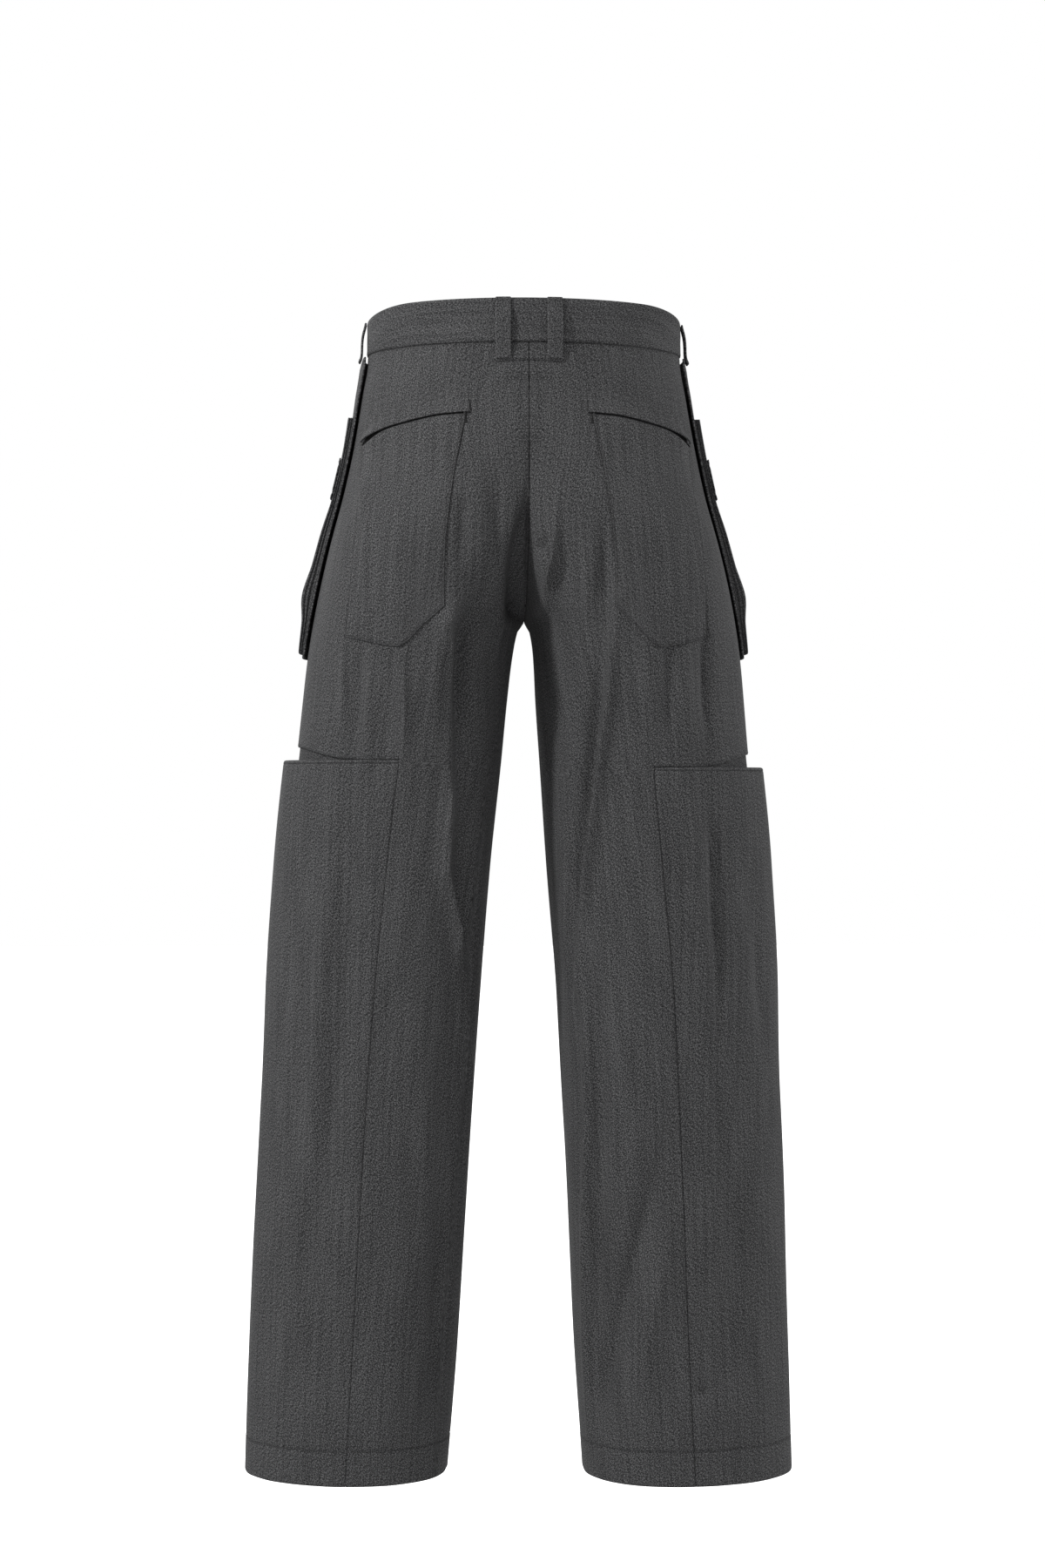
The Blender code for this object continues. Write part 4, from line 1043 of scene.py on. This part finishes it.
def makeBackPocket(leg):
    pocket, near, foot = backPocket, backPocket["nearSide"], backPocket["nearFoot"]
    width, height = pocket["size"]
    shares = [*near, *between(near[-1], 1 - near[-1], pocket["columns"]), *(1 - s for s in reversed(near))]
    downs = [*pocket["nearMouth"], *between(pocket["nearMouth"][-1], foot[0], pocket["rows"]), *foot]

    def edgeDistance(share, down):
        return min(share * width, (1 - share) * width, (1 - down) * height)

    def place(i, j):
        share, down = shares[i], downs[j]
        t, z = pocketPlace(leg, share, down)
        z -= mouthGap(share) * (1 - smooth(down / pocket["gapDown"]))
        edge = edgeDistance(share, down)
        off = pocket["lift"] - pocket["groove"] * mound(edge, pocket["grooveAt"], pocket["grooveWidth"])
        for (drop, reach), away in ((pocket["rim"], edge), (pocket["mouthRim"], down)):
            off -= drop * (1 - smooth(away / reach))
        return bodyPoint(leg, t, z, off + pocketGape(share, down))

    # painted shade round the pocket's edge and along its stitch groove
    def tone(i, j):
        edge = edgeDistance(shares[i], downs[j])
        return max(paintedSeamShade(edge, pocket["tone"]),
                   pocket["stitchShade"] * mound(edge, pocket["grooveAt"], pocket["toneWidth"]))

    piece = clothGrid(f"backPocket_{leg}", len(shares), len(downs), place, cloth, pocket["thick"],
                      flip=leg == "right", grain=len(shares) // 2, tone=tone)
    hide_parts(f"back_pocket_{leg}")

    # a dark strip behind the mouth, painted shade standing in for the shadow inside the pocket
    high, low, off = pocket["inside"]
    columns, rows = pocket["insideColumns"], pocket["insideRows"]

    def insidePlace(i, j):
        t, mouth = pocketPlace(leg, lerp(*pocket["insideSpan"], i / (columns - 1)), 0.0)
        return bodyPoint(leg, t, mouth - lerp(high, low, j / (rows - 1)), off)

    inside = clothGrid(f"pocketInside_{leg}", columns, rows, insidePlace, mouthShadeCloth, pocket["insideThick"],
                       flip=leg == "right", grain=columns // 2)


# the lip over each pocket's mouth
welt = {
    "height": 0.0187, "columns": 44, "rows": 14, "start": -0.035, "end": 1.03, "beyond": 0.22,
    "nearTop": (0.0, 0.02, 0.05, 0.09), "nearEnd": (0.0, 0.008, 0.016), "thick": 0.0008,
    "rim": 0.0010, "rimTop": 0.05, "rimEnd": 0.012,
    "foot": ((0.955, 0.0), (0.980, -0.0001), (0.993, -0.0004), (1.0, -0.0010), (0.995, -0.0016),
             (0.94, -0.0018)),
    "lift": 0.0009, "edge": 0.0030, "hang": (0.35, 0.60), "wedge": 0.0026, "wedgeAt": 0.90,
    "wedgeWidth": 0.12, "wedgeHang": (0.45, 0.50),
    "stitchSpan": (0.02, 0.98), "stitchDown": 0.085, "stitchOff": -0.0001,
    "flat": (0.094, 0.023),
}


def weltPoint(leg, f, down, off):
    share = lerp(welt["start"], welt["end"], f)
    inside = min(max(share, 0.0), 1.0)
    t, mouth = pocketPlace(leg, inside, 0.0)
    t += (share - inside) * welt["beyond"]
    hang, wedgeHang = (smooth((down - start) / span) for start, span in (welt["hang"], welt["wedgeHang"]))
    stand = lerp(welt["lift"], welt["edge"], hang)
    stand += welt["wedge"] * mound(share, welt["wedgeAt"], welt["wedgeWidth"]) * wedgeHang
    return bodyPoint(leg, t, mouth + welt["height"] * (1 - down), stand + off)


def makeWelt(leg):
    top, end, foot, rim = welt["nearTop"], welt["nearEnd"], welt["foot"], welt["rim"]
    downs = [*top, *between(top[-1], foot[0][0], welt["rows"])]
    rows = [(d, -rim * (1 - smooth(d / welt["rimTop"]))) for d in downs] + list(foot)
    columns = [*end, *between(end[-1], 1 - end[-1], welt["columns"]), *(1 - f for f in reversed(end))]

    def place(i, j):
        f = columns[i]
        down, off = rows[j]
        return weltPoint(leg, f, down, off - rim * (1 - smooth(min(f, 1 - f) / welt["rimEnd"])))

    piece = clothGrid(f"pocketWelt_{leg}", len(columns), len(rows), place, cloth, welt["thick"],
                      flip=leg == "right", grain=len(columns) // 2)


def downAndAcross(f, left, right, top, foot):      # a way down one side, along the foot and up the other side
    run = 3 * f
    if run < 1:
        return left, lerp(top, foot, run)
    return (lerp(left, right, run - 1), foot) if run < 2 else (right, lerp(foot, top, run - 2))


def sewBackPocket(leg):
    bm, pocket, inset = bmesh.new(), backPocket, backPocket["stitchInset"]

    def outline(f, off):
        share, down = downAndAcross(f, inset, 1 - inset, *pocket["stitchSpan"])
        t, z = pocketPlace(leg, share, down)
        return bodyPoint(leg, t, z, pocket["lift"] + off + pocket["stitchOff"] + pocketGape(share, down))

    def upper(f, off):
        return weltPoint(leg, lerp(*welt["stitchSpan"], f), welt["stitchDown"], off + welt["stitchOff"])

    sewAlong(bm, outline, 240)
    sewAlong(bm, upper, 50)
    for share in pocket["tacks"]:      # at the ends of the mouth
        def tack(f, off):
            t, z = pocketPlace(leg, share, lerp(*pocket["tackSpan"], f))
            return bodyPoint(leg, t, z, pocket["tackOff"] + off + pocketGape(share, 0.0) * pocket["tackGape"])

        sewAlong(bm, tack, 6, pocket["tackPitch"], pocket["tackWidth"])
    finishStitches(f"pocketStitches_{leg}", bm)


for leg in ("left", "right"):
    makeBackPocket(leg)
    makeWelt(leg)
    sewBackPocket(leg)
print("back pockets made")

# holsters: a backing hung from the waist seam, a pouch on it and a strip across
# z, and how far the backing and the pouch's face stand off there
hang = (
    (-0.0170, 0.0047, 0.0100), (-0.0260, 0.0080, 0.0100), (-0.0480, 0.0074, 0.0100),
    (-0.0700, 0.0068, 0.0098), (-0.1090, 0.0062, 0.0094), (-0.1460, 0.0064, 0.0098),
    (-0.1750, 0.0074, 0.0114), (-0.2050, 0.0082, 0.0122), (-0.2330, 0.0104, 0.0152),
    (-0.2600, 0.0074, 0.0106), (-0.2930, 0.0054, 0.0086),
)
holster = {
    "start": -0.014, "width": 0.145, "top": -0.0172, "foot": -0.2920, "pouchTop": -0.0725, "inset": 0.004,
    "stripTop": -0.1090, "stripFoot": -0.1460, "columns": 40, "rows": 60, "stripRows": 14,
    "backThick": 0.0018, "pouchThick": 0.0009, "stripThick": 0.0015, "edgeOff": 0.0044, "edgeCurl": 0.030,
    # the pouch's pleated side, as distance from its edge and share of its depth
    "pleats": ((0.0, 0.0), (0.0016, 0.22), (0.0, 0.42), (0.0014, 0.62), (0.0, 0.80), (0.0004, 0.93),
               (0.0012, 1.0)),
    "nearTop": (0.0, 0.002, 0.006, 0.012, 0.018), "pouchOff": 0.0004,
    "nearFoot": ((0.004, 1.0), (0.0017, 0.97), (0.0007, 0.88), (0.0003, 0.7), (0.0001, 0.35), (0.0, 0.0)),
    "stripOff": 0.0018, "groove": 0.0004, "grooveAt": 0.0055, "grooveWidth": 0.0016,
    "stripStitch": (0.0030, 0.002), "topStitch": (0.017, 0.003), "edgeStitch": 0.0020, "stitchTop": -0.030,
    "backFlat": (0.147, 0.300), "pouchFlat": (0.175, 0.240), "stripFlat": (0.139, 0.038),
}


def hangPoint(leg, s, z, off):
    t = placeRound(leg, 0.5, z, s, 6)
    follow = smooth((z - holster["pouchTop"]) / (holster["top"] - holster["pouchTop"]))
    drop = (waistHeight(waistSeam, t) - waistSeam["side"]) * follow
    return bodyPoint(leg, t, z + drop, off, fine=False)


def backOff(s, z):      # the back of a holster comes close to the leg along both its sides
    away = readTable(hang, 1, z)
    near = min(s - holster["start"], holster["start"] + holster["width"] - s)
    return lerp(min(holster["edgeOff"], away), away, smooth(near / holster["edgeCurl"]))


def makeHolster(leg):
    look, start, width, n = holster, holster["start"], holster["width"], holster["columns"]
    first, last = start + look["inset"], start + width - look["inset"]
    pouchFoot, flip = look["foot"] + look["inset"], leg == "right"

    def backPlace(i, j):
        s = start + width * i / (n - 1)
        z = lerp(look["top"], look["foot"], j / (look["rows"] - 1))
        return hangPoint(leg, s, z, backOff(s, z))

    back = clothGrid(f"holsterBack_{leg}", n, look["rows"], backPlace, cloth, look["backThick"], flip=flip,
                     grain=n // 2)
    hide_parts(f"holster_back_{leg}")

    face = look["pleats"][-1][0]
    columns = [(first + inset, out) for inset, out in look["pleats"]]
    columns += [(s, 1.0) for s in between(first + face, last - face, n)]
    columns += [(last - inset, out) for inset, out in reversed(look["pleats"])]
    rows = [(look["pouchTop"] - d, 1.0) for d in look["nearTop"]]
    rows += [(z, 1.0) for z in between(rows[-1][0], pouchFoot + look["nearFoot"][0][0], look["rows"])]
    rows += [(pouchFoot + d, turn) for d, turn in look["nearFoot"]]

    def pouchPlace(i, j):
        (s, out), (z, turn) = columns[i], rows[j]
        return hangPoint(leg, s, z, lerp(backOff(s, z) + look["pouchOff"], readTable(hang, 2, z), out * turn))

    pouch = clothGrid(f"holsterPouch_{leg}", len(columns), len(rows), pouchPlace, cloth, look["pouchThick"],
                      flip=flip, grain=len(columns) // 2)
    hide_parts(f"holster_pouch_{leg}")

    def stripPlace(i, j):
        down = j / (look["stripRows"] - 1)
        z = lerp(look["stripTop"], look["stripFoot"], down)
        edge = min(down, 1 - down) * (look["stripTop"] - look["stripFoot"])
        dent = look["groove"] * mound(edge, look["grooveAt"], look["grooveWidth"])
        off = readTable(hang, 2, z) + look["stripOff"] - dent
        return hangPoint(leg, lerp(first, last, i / (n - 1)), z, off)

    strip = clothGrid(f"holsterStrip_{leg}", n, look["stripRows"], stripPlace, cloth, look["stripThick"],
                      flip=flip, grain=n // 2)
    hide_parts(f"holster_strip_{leg}")

    bm = bmesh.new()
    inset, side = look["stripStitch"]
    drop, pouchSide = look["topStitch"]
    # height, distance from the side edges, and how far the line stands off the pouch's face
    for z, away, stand in ((look["stripTop"] - inset, side, look["stripOff"]),
                           (look["stripFoot"] + inset, side, look["stripOff"]),
                           (look["pouchTop"] - drop, pouchSide, 0.0)):
        def straight(f, off):
            return hangPoint(leg, lerp(first + away, last - away, f), z, readTable(hang, 2, z) + stand + off)

        sewAlong(bm, straight, 40)

    def backEdge(f, off):
        inset = look["edgeStitch"]
        s, z = downAndAcross(f, start + inset, start + width - inset, look["stitchTop"], look["foot"] + inset)
        return hangPoint(leg, s, z, backOff(s, z) + off)

    sewAlong(bm, backEdge, 150)
    finishStitches(f"holsterStitches_{leg}", bm)


for leg in ("left", "right"):
    makeHolster(leg)
print("holsters made")

# fly and button
fly = {
    "width": 0.036, "foot": -0.185, "curve": 0.036, "columns": 18, "rows": 60, "thick": 0.0012,
    "lift": 0.0004, "rim": (0.0009, 0.0012), "insets": (0.0018, 0.0070), "straight": 0.6,
    "stitchTop": 0.002, "least": 0.0012, "blunt": 0.0009, "grain": 8, "flat": (0.037, 0.160), "area": 0.0054,
}


def flyEdge(z):      # distance of the fly's curved edge from the centre front
    down = max(0.0, (fly["foot"] + fly["curve"] - z) / fly["curve"])
    return fly["width"] * math.sqrt(max(1 - down * down, fly["blunt"]))


def makeFly():
    top = waistHeight(waistSeam, 1.0) - seam

    def place(i, j):
        f = j / (fly["rows"] - 1)
        z = lerp(top, fly["foot"], math.sin(math.pi / 2 * f))
        edge = placeAtX("left", z, flyEdge(z), "front")
        share = i / (fly["columns"] - 1)
        t = lerp(edge, placeNear("left", 1.0, z, -seam / 2), share)
        drop, reach = fly["rim"]
        rim = drop * (1 - smooth(share * flyEdge(z) / reach))
        return bodyPoint("left", t, z, fly["thick"] + fly["lift"] - rim)

    piece = clothGrid("flyPlacket", fly["columns"], fly["rows"], place, cloth, fly["thick"],
                      grain=fly["grain"])
    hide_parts("fly")

    bm, straight = bmesh.new(), fly["straight"]
    for inset in fly["insets"]:
        def curve(f, off):      # straight down, then a quarter round to the centre front
            turn = math.pi / 2 * max(0.0, (f - straight) / (1 - straight))
            low = lerp(top - fly["stitchTop"], fly["foot"] + fly["curve"], min(f / straight, 1.0))
            z = low - (fly["curve"] - inset) * math.sin(turn)
            t = placeAtX("left", z, max((fly["width"] - inset) * math.cos(turn), fly["least"]), "front")
            return bodyPoint("left", t, z, fly["thick"] + fly["lift"] + off)

        sewAlong(bm, curve, 60)
    finishStitches("flyStitches", bm)


# the button: radius and height of its turned profile, from the centre of the back to the rim and
# in to the dish, with four holes in the dish
button = {
    "profile": ((0.0, 0.0), (0.0062, 0.0), (0.0080, 0.0007), (0.0085, 0.0015), (0.0084, 0.0025),
                (0.0078, 0.0031), (0.0070, 0.0032), (0.0062, 0.0029), (0.0056, 0.0024)),
    "dish": 0.0022, "dishRadius": 0.0052, "rimFrom": 0.003, "holeRing": 0.0021, "hole": 0.00085,
    "holeSides": 16, "holeDepth": 0.0016, "sides": 48, "threadApart": 0.00028, "threadDown": 0.0003,
    "threadWidth": 0.0005, "threadReach": 2.2, "buttonHole": (0.0125, 0.0011),
    "buttonHoleX": 0.0035, "beside": 0.0002, "edgePitch": 0.0008, "edgeWidth": 0.0022,
}


def makeButton():
    low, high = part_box("waist_button")
    bm = bmesh.new()
    line = [bm.verts.new((r, 0, h)) for r, h in button["profile"] + ((button["dishRadius"], button["dish"]),)]
    edges = [bm.edges.new(pair) for pair in zip(line, line[1:])]
    bmesh.ops.spin(bm, geom=line + edges, cent=(0, 0, 0), axis=(0, 0, 1), angle=2 * math.pi,
                   steps=button["sides"], use_merge=True)
    bmesh.ops.remove_doubles(bm, verts=bm.verts, dist=1e-6)
    rim = [e for e in bm.edges if e.is_boundary and min(v.co.xy.length for v in e.verts) > button["rimFrom"]]
    holes = []
    for k in range(4):
        a = math.pi / 2 * (k + 0.5)
        x, y = (button["holeRing"] * turn(a) for turn in (math.cos, math.sin))
        ring = bmesh.ops.create_circle(bm, segments=button["holeSides"], radius=button["hole"],
                                       matrix=Matrix.Translation((x, y, button["dish"])))["verts"]
        holes += [e for e in bm.edges if all(v in ring for v in e.verts)]
    bmesh.ops.triangle_fill(bm, use_beauty=True, use_dissolve=False, edges=rim + holes)
    deep = bmesh.ops.extrude_edge_only(bm, edges=holes)["geom"]
    floorVerts = [v for v in deep if isinstance(v, bmesh.types.BMVert)]
    floorEdges = [e for e in deep if isinstance(e, bmesh.types.BMEdge)]
    bmesh.ops.translate(bm, verts=floorVerts, vec=(0, 0, -button["holeDepth"]))
    bmesh.ops.holes_fill(bm, edges=floorEdges, sides=0)
    bmesh.ops.recalc_face_normals(bm, faces=bm.faces)
    centre = (low + high) / 2
    place = Matrix.Translation((centre.x, high.y, centre.z)) @ Matrix.Rotation(math.pi / 2, 4, "X")
    bmesh.ops.transform(bm, matrix=place, verts=bm.verts)
    piece = link("waistButton", bm, horn)
    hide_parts("waist_button")

    bm = bmesh.new()
    ring = button["holeRing"] * math.sqrt(0.5)
    face = high.y - button["dish"] - button["threadDown"]
    for side in (-1, 1):      # thread through the holes, and the buttonhole's stitches round it
        for shift in (-button["threadApart"], button["threadApart"]):
            def across(f, off):
                return Vector((centre.x + side * ring + shift, face - off, centre.z + lerp(-ring, ring, f)))

            sewAlong(bm, across, 1, button["threadReach"] * ring, button["threadWidth"])

    def buttonHole(f, off):
        wide, tall = button["buttonHole"]
        x = button["buttonHoleX"] + wide * math.cos(2 * math.pi * f)
        z = centre.z + tall * math.sin(2 * math.pi * f)
        leg = "left" if x > 0 else "right"
        t = placeAtX(leg, z, abs(x) + button["beside"], "front")
        return bodyPoint(leg, t, z, band["outer"] + off, fine=False)

    sewAlong(bm, buttonHole, 80, button["edgePitch"], button["edgeWidth"])
    finishStitches("buttonStitches", bm)


makeFly()
makeButton()
print("fly and button made")

# floor, light and camera
studio = {"floor": -1.30, "reach": 14.0, "shade": (0.88, 0.88, 0.88, 1), "glow": 1.0, "rough": 0.9,
          "world": 0.57}
white = (1, 1, 1, 1)


def makeFloor():      # plain and pale, without a shadow
    bm = bmesh.new()
    bmesh.ops.create_grid(bm, x_segments=1, y_segments=1, size=studio["reach"],
                          matrix=Matrix.Translation((0, 0, studio["floor"])))
    mesh = bpy.data.meshes.new("floor")
    bm.to_mesh(mesh)
    bm.free()
    floorPiece = addObject("floor", mesh)
    material, tree, shader = startMaterial("paleFloor")
    setInputs(tree, shader, Base_Color=studio["shade"], Roughness=studio["rough"], Emission_Color=white,
              Emission_Strength=studio["glow"])
    mesh.materials.append(material)
    floorPiece.visible_diffuse = floorPiece.visible_glossy = False      # it throws no light on the cloth


def addLight(name, place, aim, size, power):
    lamp = bpy.data.lights.new(name, "AREA")
    lamp.shape, lamp.size, lamp.energy = "DISK", size, power
    light = addObject(name, lamp)
    light.location = place
    light.rotation_euler = (Vector(aim) - Vector(place)).to_track_quat("-Z", "Y").to_euler()


makeFloor()
world = bpy.data.worlds.new("studio")
world.use_nodes = True
tree = world.node_tree
# white behind the piece, softer on it
seen = addNode(tree, "ShaderNodeLightPath").outputs["Is Camera Ray"]
strength = addNode(tree, "ShaderNodeMath", {"operation": "MAXIMUM"}, in0=seen, in1=studio["world"]).outputs[0]
setInputs(tree, tree.nodes["Background"], Color=white, Strength=strength)
bpy.context.scene.world = world
addLight("keyLeft", (2.17, 1.44, 1.25), (0, 0, -0.25), 0.30, 53)
addLight("frontSoft", (1.2, -2.4, 0.9), (0, 0, -0.45), 1.2, 18)
addLight("fillRight", (-2.95, 0.20, 0.3), (0, 0, -0.40), 0.9, 24)
bpy.context.scene.view_settings.view_transform = "Standard"

viewer = {"azimuth": 177.5, "distance": 2.8, "height": -0.4068, "lens": 70, "sensor": 36,
          "shiftX": -1.5 / 1800}
camData = bpy.data.cameras.new("camera")
camData.lens, camData.sensor_fit, camData.sensor_height = viewer["lens"], "VERTICAL", viewer["sensor"]
camData.shift_x = viewer["shiftX"]
camera = addObject("camera", camData)
angle = math.radians(viewer["azimuth"])
away = viewer["distance"]
camera.location = (away * math.sin(angle), -away * math.cos(angle), viewer["height"])
camera.rotation_euler = (math.pi / 2, 0, angle)
bpy.context.scene.camera = camera
print("studio set")
